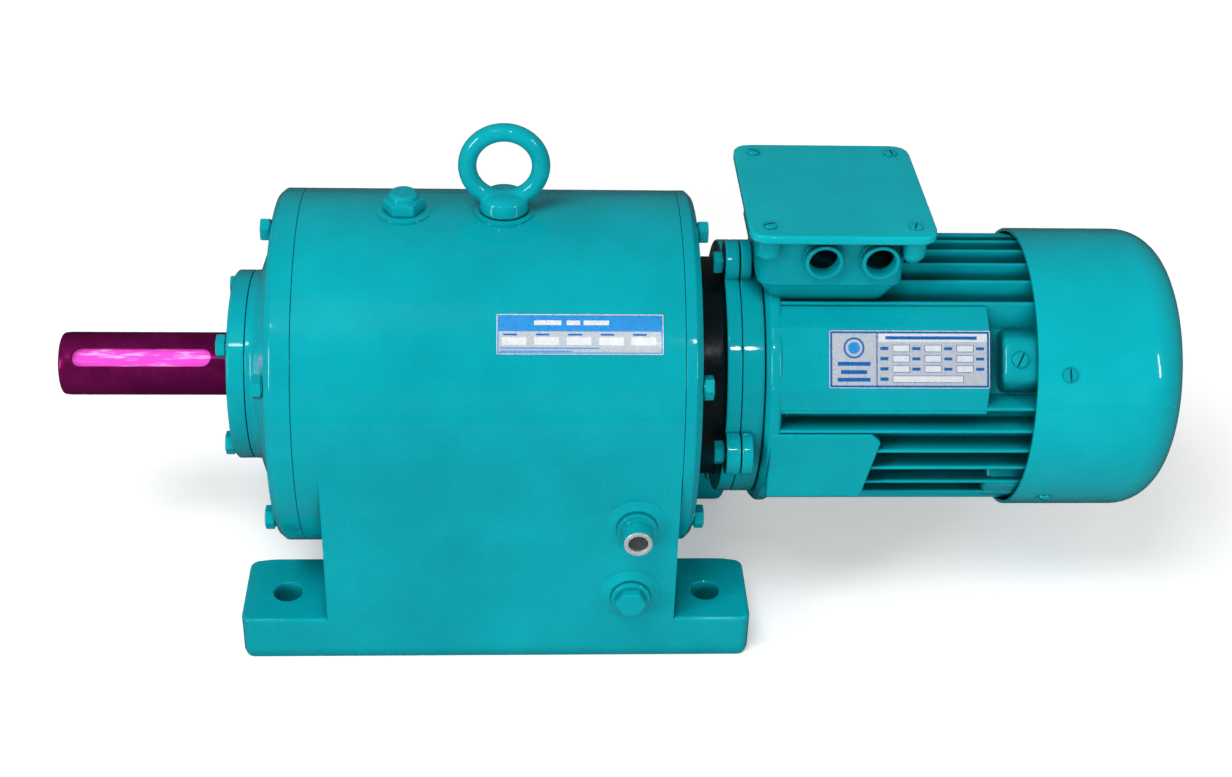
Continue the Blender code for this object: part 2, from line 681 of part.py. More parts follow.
def make_output_bearing_cap():
    """The round cap that holds the front bearing and the output oil seal."""
    seal = OUTPUT_SEAL[0] + CLEARANCE
    lip = SHAFT_RADIUS + OVERLAP
    seal_end = CAP_FACE + OUTPUT_SEAL[1] + CLEARANCE
    spigot = OUTPUT_FRONT_BEARING[1]
    spigot_end = CAP_BACK + CAP_SPIGOT
    spigot_bore = OUTPUT_FRONT_BEARING[0] + SPIGOT_WALL
    section = [
        (CAP_FACE, seal), (CAP_FACE, FRONT_BOSS_RADIUS - CAP_LIP / 2),
        (CAP_FACE + CAP_LIP / 2, FRONT_BOSS_RADIUS), (CAP_BACK, FRONT_BOSS_RADIUS),
        (CAP_BACK, spigot), (spigot_end, spigot), (spigot_end, spigot_bore), (CAP_BACK, spigot_bore),
        (CAP_BACK, lip), (seal_end, lip), (seal_end, seal),
    ]
    cap = turned("output_bearing_cap", section, TEAL_PAINT)
    hole = BOLT_RADIUS + CLEARANCE
    bolt_holes(cap, CAP_BOLT_CIRCLE, CAP_BOLT_ANGLES, hole, CAP_FACE - OVERLAP, CAP_BACK + OVERLAP)


def make_oil_seals():
    """The lip seals around the output shaft and the rotor shaft."""
    radius, width = OUTPUT_SEAL
    ring("output_oil_seal", SHAFT_RADIUS + CLEARANCE, radius, CAP_FACE, CAP_FACE + width, BLACK_RUBBER)
    radius, width = INPUT_SEAL
    bore = ROTOR_BEARING[0] + CLEARANCE
    end = REAR_COVER_FACE - CLEARANCE
    ring("input_oil_seal", bore, radius, end - width, end, BLACK_RUBBER)


def make_rear_cover():
    """The disc that closes the housing towards the motor and carries the layshaft's rear bearing."""
    seal = INPUT_SEAL[0] + CLEARANCE
    seal_start = REAR_COVER_FACE - INPUT_SEAL[1] - 2 * CLEARANCE
    spigot = COVER_BORE_RADIUS - CLEARANCE
    passage = seal - COVER_EDGE
    section = [
        (REAR_SPIGOT_END, passage), (REAR_SPIGOT_END, spigot), (REAR_COVER_START, spigot),
        (REAR_COVER_START, DRUM_RADIUS), (REAR_COVER_FACE - COVER_EDGE, DRUM_RADIUS),
        (REAR_COVER_FACE, DRUM_RADIUS - COVER_EDGE),
        (REAR_COVER_FACE, seal), (seal_start, seal), (seal_start, passage),
    ]
    cover = turned("rear_cover", section, TEAL_PAINT)
    boss_start = REAR_SPIGOT_END - LAYSHAFT_BEARING[2]
    join(cover, layshaft_boss("rear_layshaft_boss", boss_start, REAR_SPIGOT_END + OVERLAP))
    cut(cover, layshaft_pocket(boss_start - OVERLAP, LAYSHAFT_END + CLEARANCE))
    hole = BOLT_RADIUS + CLEARANCE
    start, end = DRUM_REAR - OVERLAP, REAR_COVER_FACE + OVERLAP
    bolt_holes(cover, COVER_BOLT_CIRCLE, COVER_BOLT_ANGLES, hole, start, end)


def make_bearing(name, size, start, z=AXIS_HEIGHT, rounds=SMALL_ROUND):
    """A rolling bearing's two rings: the outer one sits in its housing, the inner one on its shaft."""
    bore, outside, width = size
    share = (outside - bore) * RING_SHARE
    end = start + width
    place_at = {"z": z, "rounds": rounds}
    ring(f"{name}_outer_ring", outside - share, outside, start, end, BEARING_STEEL, **place_at)
    ring(f"{name}_inner_ring", bore + CLEARANCE, bore + share, start, end, BEARING_STEEL, **place_at)


def make_bearings():
    """The six bearings. Each has as many sides as the hole that it sits in, or fewer."""
    front = FRONT_BEARING_START + CLEARANCE
    make_bearing("output_front_bearing", OUTPUT_FRONT_BEARING, front, rounds=LARGE_ROUND)
    make_bearing("output_rear_bearing", OUTPUT_REAR_BEARING, -WEB_THICKNESS / 2, rounds=MEDIUM_ROUND)
    rear = LAYSHAFT_END - LAYSHAFT_BEARING[2]
    make_bearing("layshaft_front_bearing", LAYSHAFT_BEARING, LAYSHAFT_START, LAYSHAFT_HEIGHT)
    make_bearing("layshaft_rear_bearing", LAYSHAFT_BEARING, rear, LAYSHAFT_HEIGHT)
    make_bearing("rotor_front_bearing", ROTOR_BEARING, FRONT_ROTOR_BEARING)
    make_bearing("rotor_rear_bearing", ROTOR_BEARING, REAR_ROTOR_BEARING)


def hex_head(name, flats, start, end, finish=None, **place_at):
    """A hexagonal prism along its own Z axis."""
    corner_radius = flats / math.sqrt(3.0)
    return cylinder(name, corner_radius, start, end, finish, rounds=6, **place_at)


def bolt_mesh(name, length):
    """A hexagon bolt along Z: the head stands above zero and the shank hangs below it."""
    upright = {"z": 0.0, "turn": UPRIGHT}
    bolt = hex_head(f"{name}_pattern", BOLT_FLATS, 0.0, BOLT_HEAD, **upright)
    shank_top = BOLT_HEAD / 2
    join(bolt, cylinder(f"{name}_shank", BOLT_RADIUS, -length, shank_top, rounds=TINY_ROUND, **upright))
    mesh = evaluated_mesh(bolt)
    mesh.name = name
    mesh.materials.append(finish_material(name, TEAL_PAINT))
    bpy.data.objects.remove(bolt, do_unlink=True)
    return mesh


def bolt_ring(name, circle, angles, seat, length, facing):
    """Equal bolts on a circle, with their heads on the seat and facing along X one way or the other."""
    mesh = bolt_mesh(name, length)
    turn = (0.0, math.radians(90.0 * facing), 0.0)
    for index, angle in enumerate(angles):
        y, z = on_circle(circle, angle)
        place(f"{name}_{index + 1}", mesh, TEAL_PAINT, (seat + facing * CLEARANCE, y, z), turn)


def make_bolts():
    """The bolts of both covers, the bearing cap and the motor flange."""
    length = FRONT_FLANGE_THICKNESS + BOLT_BITE
    bolt_ring("front_cover_bolt", COVER_BOLT_CIRCLE, COVER_BOLT_ANGLES, FRONT_FLANGE_FACE, length, -1)
    length = REAR_COVER_THICKNESS + BOLT_BITE
    bolt_ring("rear_cover_bolt", COVER_BOLT_CIRCLE, COVER_BOLT_ANGLES, REAR_COVER_FACE, length, 1)
    length = CAP_THICKNESS + BOLT_BITE
    bolt_ring("bearing_cap_bolt", CAP_BOLT_CIRCLE, CAP_BOLT_ANGLES, CAP_FACE, length, -1)
    length = ADAPTER_FLANGE + EAR_THICKNESS
    bolt_ring("motor_flange_bolt", MOTOR_BOLT_CIRCLE, MOTOR_BOLT_ANGLES, ADAPTER_FLANGE_START, length, -1)


def module_of(pinion_teeth, wheel_teeth):
    """The tooth size that lets a gear pair fit the centre distance."""
    return 2 * CENTRE_DISTANCE / (pinion_teeth + wheel_teeth)


def involute(angle):
    return math.tan(angle) - angle


def half_tooth_angle(radius, teeth, module):
    """Half the angle that a tooth takes at a radius, from the involute of the base circle."""
    pitch_radius = module * teeth / 2
    base_radius = pitch_radius * math.cos(math.radians(PRESSURE_ANGLE))
    at_pitch = involute(math.radians(PRESSURE_ANGLE))
    slope = math.acos(min(1.0, base_radius / max(radius, base_radius)))
    half_at_pitch = math.pi / (2 * teeth) - BACKLASH / (2 * pitch_radius)
    return half_at_pitch + at_pitch - involute(slope)


def gear_outline(teeth, module, phase, flank_steps):
    """The outline of a gear, with the middle of one tooth at the given angle."""
    pitch_radius = module * teeth / 2
    root = pitch_radius - DEDENDUM * module
    tip = pitch_radius + ADDENDUM * module
    radii = [root + (tip - root) * step / flank_steps for step in range(flank_steps + 1)]
    outline = []
    for tooth in range(teeth):
        middle = math.radians(phase) + 2 * math.pi * tooth / teeth
        rising = [(radius, middle - half_tooth_angle(radius, teeth, module)) for radius in radii]
        falling = [(radius, middle + half_tooth_angle(radius, teeth, module)) for radius in reversed(radii)]
        outline += [(radius * math.cos(a), radius * math.sin(a)) for radius, a in rising + falling]
    return outline


def helical_gear(name, teeth, module, width, x, z, phase, hand, finish, flank_steps, twist_steps):
    """A helical gear without its bore: the tooth outline, swept along the axis while it turns.

    The phase holds at the middle of the width, so two mating gears with opposite hands mesh all along.
    """
    pitch_radius = module * teeth / 2
    full_twist = hand * width * math.tan(math.radians(HELIX_ANGLE)) / pitch_radius
    start_phase = phase - math.degrees(full_twist) / 2
    solid = bmesh.new()
    outline = gear_outline(teeth, module, start_phase, flank_steps)
    face = solid.faces.new([solid.verts.new((u, v, -width / 2)) for u, v in outline])
    for step in range(twist_steps):
        grown = bmesh.ops.extrude_face_region(solid, geom=[face])["geom"]
        points = [item for item in grown if isinstance(item, bmesh.types.BMVert)]
        if step > 0:
            bmesh.ops.delete(solid, geom=[face], context="FACES_ONLY")
        face = next(item for item in grown if isinstance(item, bmesh.types.BMFace))
        bmesh.ops.translate(solid, vec=(0.0, 0.0, width / twist_steps), verts=points)
        bmesh.ops.rotate(solid, matrix=Matrix.Rotation(full_twist / twist_steps, 3, "Z"), verts=points)
    bmesh.ops.recalc_face_normals(solid, faces=solid.faces)
    mesh = bpy.data.meshes.new(name)
    solid.to_mesh(mesh)
    solid.free()
    return place(name, mesh, finish, (x, 0.0, z), ALONG_X)


# A gear's own +X points down in the scene, and the mesh point of a wheel on the main axis faces down.
FACING_DOWN = 0.0
FACING_UP = 180.0


def gap_facing_up(teeth):
    """The phase that turns a gap between two teeth towards the main axis."""
    return FACING_UP + 180.0 / teeth


def lighten_wheel(wheel, teeth, module, width, hub_radius, x, z):
    """Turns a recess into both sides of a wheel, between its hub and its rim."""
    rim = module * (teeth / 2 - DEDENDUM) - WHEEL_RIM
    recesses = []
    for side in (-1, 1):
        near = side * WHEEL_WEB / 2
        far = side * (width / 2 + OVERLAP)
        recesses.append(ring("recess", hub_radius, rim, near, far, x=x, z=z, rounds=SMALL_ROUND))
    cut(wheel, merged(f"{wheel.name}_recesses", recesses))


def make_output_wheel():
    """The large gear on the output shaft, keyed to it."""
    teeth = SECOND_WHEEL_TEETH
    module = module_of(SECOND_PINION_TEETH, teeth)
    width = SECOND_WHEEL_WIDTH
    x = SECOND_STAGE_X
    wheel = helical_gear(
        "output_wheel", teeth, module, width, x, AXIS_HEIGHT, FACING_DOWN, 1, BARE_STEEL, 1, 1
    )
    lighten_wheel(wheel, teeth, module, width, OUTPUT_HUB_RADIUS, x, AXIS_HEIGHT)
    hub_end = -WEB_THICKNESS / 2 - 2 * CLEARANCE - x
    hub_radius = OUTPUT_HUB_RADIUS - STEP
    join(wheel, cylinder("output_wheel_hub", hub_radius, 0.0, hub_end, x=x))
    bore_radius = OUTPUT_SEAT_RADIUS + CLEARANCE
    bore = cylinder("output_wheel_bore", bore_radius, -width, 2 * width, x=x, rounds=MEDIUM_ROUND)
    cut(wheel, bore, wheel_key("output_wheel_key_slot", CLEARANCE, 2 * width))


def wheel_key(name, spare, length, finish=None):
    """The output wheel's key, or with some spare all round the slot that it fits."""
    half_width = WHEEL_KEY_WIDTH / 2 + spare
    low = AXIS_HEIGHT + OUTPUT_SEAT_RADIUS - WHEEL_KEY_SUNK - spare
    high = low + WHEEL_KEY_HEIGHT + 2 * spare
    start, end = SECOND_STAGE_X - length / 2, SECOND_STAGE_X + length / 2
    return block(name, (start, -half_width, low), (end, half_width, high), finish)


def make_output_shaft():
    """The stepped output shaft, with an open keyway in its free end and a key seat under the wheel."""
    journal, _, width = OUTPUT_FRONT_BEARING
    rear_journal = OUTPUT_REAR_BEARING[0]
    wheel_start = SECOND_STAGE_X - SECOND_WHEEL_WIDTH / 2
    front_end = FRONT_BEARING_START + width + CLEARANCE
    web_start = -WEB_THICKNESS / 2 - CLEARANCE
    shaft_rear = WEB_THICKNESS / 2 + OVERLAP
    section = [
        (SHAFT_END, 0.0), (SHAFT_END, SHAFT_RADIUS - SHAFT_CHAMFER),
        (SHAFT_END + SHAFT_CHAMFER, SHAFT_RADIUS), (FRONT_BEARING_START - OVERLAP, SHAFT_RADIUS),
        (FRONT_BEARING_START - OVERLAP, journal), (front_end, journal),
        (front_end, OUTPUT_COLLAR_RADIUS), (wheel_start - CLEARANCE, OUTPUT_COLLAR_RADIUS),
        (wheel_start - CLEARANCE, OUTPUT_SEAT_RADIUS), (web_start, OUTPUT_SEAT_RADIUS),
        (web_start, rear_journal), (shaft_rear, rear_journal), (shaft_rear, 0.0),
    ]
    shaft = turned("output_shaft", section, SHAFT_LACQUER, rounds=MEDIUM_ROUND)
    seat_length = SECOND_WHEEL_WIDTH + 2 * CLEARANCE
    cut(shaft, keyway_cutter(), wheel_key("output_shaft_key_seat", CLEARANCE, seat_length))
    wheel_key("output_wheel_key", 0.0, SECOND_WHEEL_WIDTH, BARE_STEEL)


def keyway_cutter():
    """A slot with round ends, sunk into the free end of the output shaft."""
    half_width = KEYWAY_WIDTH / 2
    reach = KEYWAY_LENGTH / 2 - half_width
    outline = arc((reach, 0.0), half_width, -90.0, 90.0, 2 * CORNER_STEPS)
    outline += arc((-reach, 0.0), half_width, 90.0, 270.0, 2 * CORNER_STEPS)
    middle_radius = SHAFT_RADIUS - KEYWAY_DEPTH + SHAFT_RADIUS / 2
    y, z = on_circle(middle_radius, KEYWAY_ANGLE)
    x = SHAFT_END + KEYWAY_SETBACK + KEYWAY_LENGTH / 2
    turn = (math.radians(KEYWAY_ANGLE - 90.0), 0.0, 0.0)
    return slab("keyway", outline, SHAFT_RADIUS, None, (x, y, z), turn)


def layshaft_section(root_radius):
    """The layshaft's half section, with the bar inside its pinion a little under the teeth's root."""
    journal, _, width = LAYSHAFT_BEARING
    front_end = LAYSHAFT_START + width + CLEARANCE
    rear_start = LAYSHAFT_END - width - CLEARANCE
    half_pinion = SECOND_WHEEL_WIDTH / 2 + PINION_OVERHANG
    cone_start = SECOND_STAGE_X - 2 * half_pinion
    wheel_start = FIRST_STAGE_X - FIRST_WHEEL_WIDTH / 2 - CLEARANCE
    wheel_end = FIRST_STAGE_X + FIRST_WHEEL_WIDTH / 2 + CLEARANCE
    collar_start = wheel_start - LAYSHAFT_COLLAR_LENGTH
    bar = root_radius - CLEARANCE
    step = LAYSHAFT_STEP_RADIUS
    return [
        (LAYSHAFT_START, 0.0), (LAYSHAFT_START, journal), (front_end, journal), (front_end, step),
        (cone_start, step), (SECOND_STAGE_X - half_pinion, bar), (collar_start, bar),
        (collar_start, LAYSHAFT_COLLAR_RADIUS), (wheel_start, LAYSHAFT_COLLAR_RADIUS),
        (wheel_start, LAYSHAFT_SEAT_RADIUS), (wheel_end, LAYSHAFT_SEAT_RADIUS), (wheel_end, step),
        (rear_start, step), (rear_start, journal), (LAYSHAFT_END, journal), (LAYSHAFT_END, 0.0),
    ]


def make_layshaft():
    """The intermediate shaft with its pinion cut in one piece."""
    teeth = SECOND_PINION_TEETH
    module = module_of(teeth, SECOND_WHEEL_TEETH)
    section = layshaft_section(module * (teeth / 2 - DEDENDUM))
    shaft = turned("layshaft", section, BARE_STEEL, z=LAYSHAFT_HEIGHT, rounds=SMALL_ROUND)
    width = SECOND_WHEEL_WIDTH + 2 * PINION_OVERHANG
    join(shaft, helical_gear(
        "layshaft_pinion", teeth, module, width, SECOND_STAGE_X, LAYSHAFT_HEIGHT,
        gap_facing_up(teeth), -1, None, 1, 2,
    ))


def make_layshaft_wheel():
    """The large gear on the rear half of the layshaft."""
    teeth = FIRST_WHEEL_TEETH
    module = module_of(FIRST_PINION_TEETH, teeth)
    width = FIRST_WHEEL_WIDTH
    place_at = {"x": FIRST_STAGE_X, "z": LAYSHAFT_HEIGHT}
    wheel = helical_gear(
        "layshaft_wheel", teeth, module, width, FIRST_STAGE_X, LAYSHAFT_HEIGHT,
        gap_facing_up(teeth), 1, BARE_STEEL, 1, 1,
    )
    lighten_wheel(wheel, teeth, module, width, LAYSHAFT_HUB_RADIUS, FIRST_STAGE_X, LAYSHAFT_HEIGHT)
    bore_radius = LAYSHAFT_SEAT_RADIUS + CLEARANCE
    cut(wheel, cylinder("layshaft_wheel_bore", bore_radius, -width, width, **place_at))


def ears(name, start, end):
    """The four round lugs for the motor's bolts, to be joined to a flange."""
    made = []
    for angle in MOTOR_BOLT_ANGLES:
        y, z = on_circle(MOTOR_BOLT_CIRCLE, angle)
        made.append(cylinder("ear", EAR_RADIUS, start, end, y=y, z=z))
    return merged(name, made)


def make_motor_adapter():
    """The neck between the gearbox and the motor, with a flange and four ears."""
    section = [
        (ADAPTER_START, NECK_BORE), (ADAPTER_START, NECK_RADIUS), (ADAPTER_FLANGE_START, NECK_RADIUS),
        (ADAPTER_FLANGE_START, FLANGE_RADIUS), (ADAPTER_END, FLANGE_RADIUS), (ADAPTER_END, NECK_BORE),
    ]
    adapter = turned("motor_adapter", section, TEAL_PAINT)
    join(adapter, ears("adapter_ears", ADAPTER_FLANGE_START + STEP, ADAPTER_END - STEP))
    hole = BOLT_RADIUS + CLEARANCE
    start, end = ADAPTER_FLANGE_START - OVERLAP, ADAPTER_END + OVERLAP
    bolt_holes(adapter, MOTOR_BOLT_CIRCLE, MOTOR_BOLT_ANGLES, hole, start, end)


def make_front_endshield():
    """The motor's front end: a flange with ears, a spigot and the pocket of the rotor's front bearing."""
    bore = ROTOR_BEARING[0] + OVERLAP
    pocket = ROTOR_BEARING[1] + CLEARANCE
    hub = pocket + COVER_EDGE
    spigot = FRAME_BORE - CLEARANCE
    spigot_end = ENDSHIELD_END + COVER_EDGE
    hub_end = FRONT_ROTOR_BEARING + ROTOR_BEARING[2] + CLEARANCE
    section = [
        (ENDSHIELD_START, bore), (ENDSHIELD_START, FLANGE_RADIUS), (ENDSHIELD_END, FLANGE_RADIUS),
        (ENDSHIELD_END, spigot), (spigot_end, spigot), (spigot_end, hub), (hub_end, hub),
        (hub_end, pocket), (ENDSHIELD_END, pocket), (ENDSHIELD_END, bore),
    ]
    shield = turned("front_endshield", section, TEAL_PAINT)
    ear_end = ENDSHIELD_START + EAR_THICKNESS
    join(shield, ears("endshield_ears", ENDSHIELD_START + STEP, ear_end))
    hole = BOLT_RADIUS + CLEARANCE
    start, end = ENDSHIELD_START - OVERLAP, ear_end + OVERLAP
    bolt_holes(shield, MOTOR_BOLT_CIRCLE, MOTOR_BOLT_ANGLES, hole, start, end)


def fin_plates():
    """The cooling fins as flat plates right across the frame: side fins lie level, top fins stand upright."""
    start, end = FRAME_START + FRAME_COLLAR_LENGTH / 2, FRAME_END - STEP
    half = FIN_THICKNESS / 2
    level = []
    for place_in_row in SIDE_FIN_PLACES:
        height = SIDE_FIN_PITCH * place_in_row
        reach = math.sqrt(FIN_RADIUS**2 - (abs(height) + half)**2)
        z = AXIS_HEIGHT + height
        level.append(block("fin", (start, -reach, z - half), (end, reach, z + half)))
    upright = []
    for place_in_row in TOP_FIN_PLACES:
        y = TOP_FIN_PITCH * place_in_row
        reach = math.sqrt(FIN_RADIUS**2 - (abs(y) + half)**2)
        low, high = AXIS_HEIGHT - reach, AXIS_HEIGHT + reach
        upright.append(block("fin", (start, y - half, low), (end, y + half, high)))
    return merged("level_fins", level), merged("upright_fins", upright)


def across_shafts(angle):
    """The turn that stands an outline across the shafts, with its own Y axis tilted away from +Z."""
    stand = Matrix.Rotation(math.radians(90.0), 4, "Z") @ Matrix.Rotation(math.radians(90.0), 4, "X")
    return (Matrix.Rotation(math.radians(angle), 4, "X") @ stand).to_euler()


def nameplate_pad(name, side):
    """A raised flat on one shoulder of the frame."""
    base = FRAME_CORE_RADIUS - COVER_EDGE
    outline = [
        (-PAD_FLANK, base), (PAD_FLANK, base), (PAD_FLANK, PAD_FLANK_HEIGHT),
        (PAD_HALF_WIDTH, PAD_HEIGHT), (-PAD_HALF_WIDTH, PAD_HEIGHT), (-PAD_FLANK, PAD_FLANK_HEIGHT),
    ]
    centre = (FRAME_START + PAD_LENGTH / 2, 0.0, AXIS_HEIGHT)
    return slab(name, outline, PAD_LENGTH, None, centre, across_shafts((90.0 - PAD_ANGLE) * side))


def cowl_lugs():
    """Four lugs at the rear of the frame that the cowl slides over and is screwed to."""
    start = FRAME_START + PAD_LENGTH + COWL_SCREW_RADIUS
    low = FRAME_CORE_RADIUS - COVER_EDGE
    height = (COWL_RADIUS - COWL_SHEET) * math.cos(math.pi / LARGE_ROUND) - CLEARANCE
    half_top = LUG_HALF_WIDTH / 2
    outline = [
        (-LUG_HALF_WIDTH, low), (LUG_HALF_WIDTH, low), (half_top, height - LUG_RISE),
        (0.0, height), (-half_top, height - LUG_RISE),
    ]
    centre = ((start + FRAME_END) / 2, 0.0, AXIS_HEIGHT)
    lugs = []
    for angle in (PAD_ANGLE, 180.0 - PAD_ANGLE, 180.0 + PAD_ANGLE, 360.0 - PAD_ANGLE):
        lugs.append(slab("cowl_lug", outline, FRAME_END - start, None, centre, across_shafts(angle - 90.0)))
    return lugs


def foot_pads():
    """Upright mounting pads on both sides of the frame, near its front end."""
    start = FRAME_START + COVER_EDGE
    end = start + FOOT_PAD_LENGTH
    outline = [
        (start, FOOT_PAD_LOW), (end - FOOT_PAD_SLOPE, FOOT_PAD_LOW), (end, FOOT_PAD_HIGH - FOOT_PAD_CORNER),
        (end - FOOT_PAD_CORNER, FOOT_PAD_HIGH), (start, FOOT_PAD_HIGH),
    ]
    depth = FOOT_PAD_FACE - FRAME_BORE
    pads = []
    for side in (-1, 1):
        centre = (0.0, side * (FOOT_PAD_FACE - depth / 2), AXIS_HEIGHT)
        pads.append(slab("foot_pad", outline, depth, None, centre, TO_FRONT))
    return pads


def frame_tube():
    """The round part of the frame, with a smooth collar at its front end."""
    collar_end = FRAME_START + FRAME_COLLAR_LENGTH
    edge = COVER_EDGE
    section = [
        (FRAME_START, FRAME_BORE), (FRAME_START, FRAME_COLLAR_RADIUS - edge),
        (FRAME_START + edge, FRAME_COLLAR_RADIUS), (collar_end, FRAME_COLLAR_RADIUS),
        (collar_end + edge, FRAME_CORE_RADIUS), (FRAME_END, FRAME_CORE_RADIUS), (FRAME_END, FRAME_BORE),
    ]
    return turned("motor_frame", section, TEAL_PAINT)


def box_seat():
    """The flat block that the terminal box stands on."""
    start, end = BOX_START + BOX_CORNER, BOX_END - BOX_CORNER
    half = BOX_HALF_WIDTH - BOX_CORNER
    low, high = AXIS_HEIGHT + FRAME_BORE, AXIS_HEIGHT + BOX_SEAT_HEIGHT
    return block("box_seat", (start, -half, low), (end, half, high))


def make_motor_frame():
    """The finned motor body: a tube with plate fins, two nameplate pads and the terminal box seat."""
    frame = frame_tube()
    join(frame, *fin_plates())
    join(frame, merged("nameplate_pads", [nameplate_pad("near_pad", 1), nameplate_pad("far_pad", -1)]))
    join(frame, merged("cowl_lugs", cowl_lugs()), merged("foot_pads", foot_pads()), box_seat())
    start, end = FRAME_START - OVERLAP, FRAME_END + OVERLAP
    bore = cylinder("frame_bore", FRAME_BORE, start, end, rounds=LARGE_ROUND)
    top = BOX_SEAT_HEIGHT + OVERLAP
    wire_hole = cylinder("frame_wire_hole", WIRE_HOLE_RADIUS, 0.0, top, x=BOX_CENTRE, turn=UPRIGHT)
    cut(frame, bore, wire_hole)


def make_stator():
    """The wound stator: its laminated core, with the ends of the winding standing out on both sides."""
    start = FRAME_START + STATOR_START
    end = start + STATOR_LENGTH
    outside = FRAME_BORE - CLEARANCE
    front, rear = start - WINDING_LENGTH, end + WINDING_LENGTH
    section = [
        (front, STATOR_BORE), (front, WINDING_OUTER), (start, WINDING_OUTER), (start, outside),
        (end, outside), (end, WINDING_OUTER), (rear, WINDING_OUTER), (rear, STATOR_BORE),
    ]
    turned("stator", section, LAMINATED_STEEL)


def rotor_section(start):
    """The rotor shaft's half section, from the front face of its pinion to the fan."""
    journal, _, width = ROTOR_BEARING
    front_step = FRONT_ROTOR_BEARING + width + CLEARANCE
    rear_step = REAR_ROTOR_BEARING - CLEARANCE
    rear_end = REAR_ROTOR_BEARING + width + CLEARANCE
    shaft_rear = FAN_START + FAN_WIDTH
    return [
        (start, 0.0), (start, journal), (front_step, journal), (front_step, ROTOR_SHAFT_RADIUS),
        (rear_step, ROTOR_SHAFT_RADIUS), (rear_step, journal), (rear_end, journal),
        (rear_end, FAN_SEAT_RADIUS), (shaft_rear, FAN_SEAT_RADIUS), (shaft_rear, 0.0),
    ]


def make_rotor():
    """The rotor shaft with its pinion cut in one piece, and the rotor core on it."""
    teeth = FIRST_PINION_TEETH
    module = module_of(teeth, FIRST_WHEEL_TEETH)
    width = FIRST_WHEEL_WIDTH + 2 * PINION_OVERHANG
    start = FIRST_STAGE_X - width / 2 + CLEARANCE
    shaft = turned("rotor_shaft", rotor_section(start), BARE_STEEL, rounds=SMALL_ROUND)
    join(shaft, helical_gear(
        "rotor_pinion", teeth, module, width, FIRST_STAGE_X, AXIS_HEIGHT, FACING_DOWN, -1, None, 1, 2
    ))
    core_start = FRAME_START + STATOR_START
    core_end = core_start + STATOR_LENGTH
    bore, outside = ROTOR_SHAFT_RADIUS + CLEARANCE, STATOR_BORE - AIR_GAP
    ring("rotor_core", bore, outside, core_start, core_end, LAMINATED_STEEL, LARGE_ROUND)


def make_rear_endshield():
    """The motor's rear end, with the pocket of the rotor's rear bearing."""
    bore = ROTOR_BEARING[0] + OVERLAP
    pocket = ROTOR_BEARING[1] + CLEARANCE
    hub = pocket + COVER_EDGE
    spigot = FRAME_BORE - CLEARANCE
    hub_start = REAR_ROTOR_BEARING - CLEARANCE
    spigot_start = REAR_SHIELD_START - COVER_EDGE
    section = [
        (hub_start, pocket), (hub_start, hub), (spigot_start, hub), (spigot_start, spigot),
        (REAR_SHIELD_START, spigot), (REAR_SHIELD_START, FRAME_CORE_RADIUS),
        (REAR_SHIELD_END, FRAME_CORE_RADIUS), (REAR_SHIELD_END, bore), (REAR_SHIELD_START, bore),
        (REAR_SHIELD_START, pocket),
    ]
    turned("rear_endshield", section, TEAL_PAINT)


def make_fan():
    """The cooling fan: a hub and a plate with straight blades."""
    bore = FAN_SEAT_RADIUS + CLEARANCE
    end = FAN_START + FAN_WIDTH
    section = [
        (FAN_START, bore), (FAN_START, FAN_HUB_RADIUS), (end - FAN_PLATE, FAN_HUB_RADIUS),
        (end - FAN_PLATE, FAN_PLATE_RADIUS), (end, FAN_PLATE_RADIUS), (end, bore),
    ]
    fan = turned("fan", section, FAN_PLASTIC, rounds=MEDIUM_ROUND)
    blades = []
    for angle in spaced_angles(FAN_BLADES, 0.0):
        low = (FAN_START + OVERLAP, FAN_HUB_RADIUS - OVERLAP, -FAN_PLATE / 2)
        blade = block("blade", low, (end - OVERLAP, FAN_RADIUS, FAN_PLATE / 2))
        turn_about_axis(blade, angle)
        blades.append(blade)
    join(fan, merged("fan_blades", blades))


def turn_about_axis(item, angle):
    """Moves an object that was made around the X axis to the shaft's height, turned by an angle."""
    spin = Matrix.Rotation(math.radians(angle), 4, "X")
    item.matrix_basis = Matrix.Translation((0.0, 0.0, AXIS_HEIGHT)) @ spin @ Matrix.Translation(item.location)


def cowl_side(radius, end, shoulder):
    """Half the cowl's outline on one face of its sheet, from the middle of its rear face to its rim."""
    corner = arc((end - shoulder, radius - shoulder), shoulder, 0.0, 90.0, CORNER_STEPS)
    return [(end, 0.0), *corner, (COWL_START, radius)]


def make_fan_cowl():
    """The sheet cowl over the fan, with rings of slots in its rear face."""
    outside = cowl_side(COWL_RADIUS, COWL_END, COWL_SHOULDER)
    inside = cowl_side(COWL_RADIUS - COWL_SHEET, COWL_END - COWL_SHEET, COWL_SHOULDER - COWL_SHEET)
    cowl = turned("fan_cowl", outside + inside[::-1], TEAL_PAINT)
    slots = []
    for inner, outer, count in GRILLE_RINGS:
        for angle in spaced_angles(count, 0.0):
            low = (COWL_END - 3 * COWL_SHEET, inner, -GRILLE_SLOT / 2)
            slot = block("slot", low, (COWL_END + OVERLAP, outer, GRILLE_SLOT / 2))
            turn_about_axis(slot, angle)
            slots.append(slot)
    cut(cowl, merged("grille_slots", slots))


def lid_screw_places():
    """The four (x, y) places of the lid's screws."""
    reach_x = LID_LENGTH / 2 - LID_SCREW_INSET
    reach_y = LID_WIDTH / 2 - LID_SCREW_INSET
    return [(LID_CENTRE + side_x * reach_x, side_y * reach_y) for side_x in (-1, 1) for side_y in (-1, 1)]


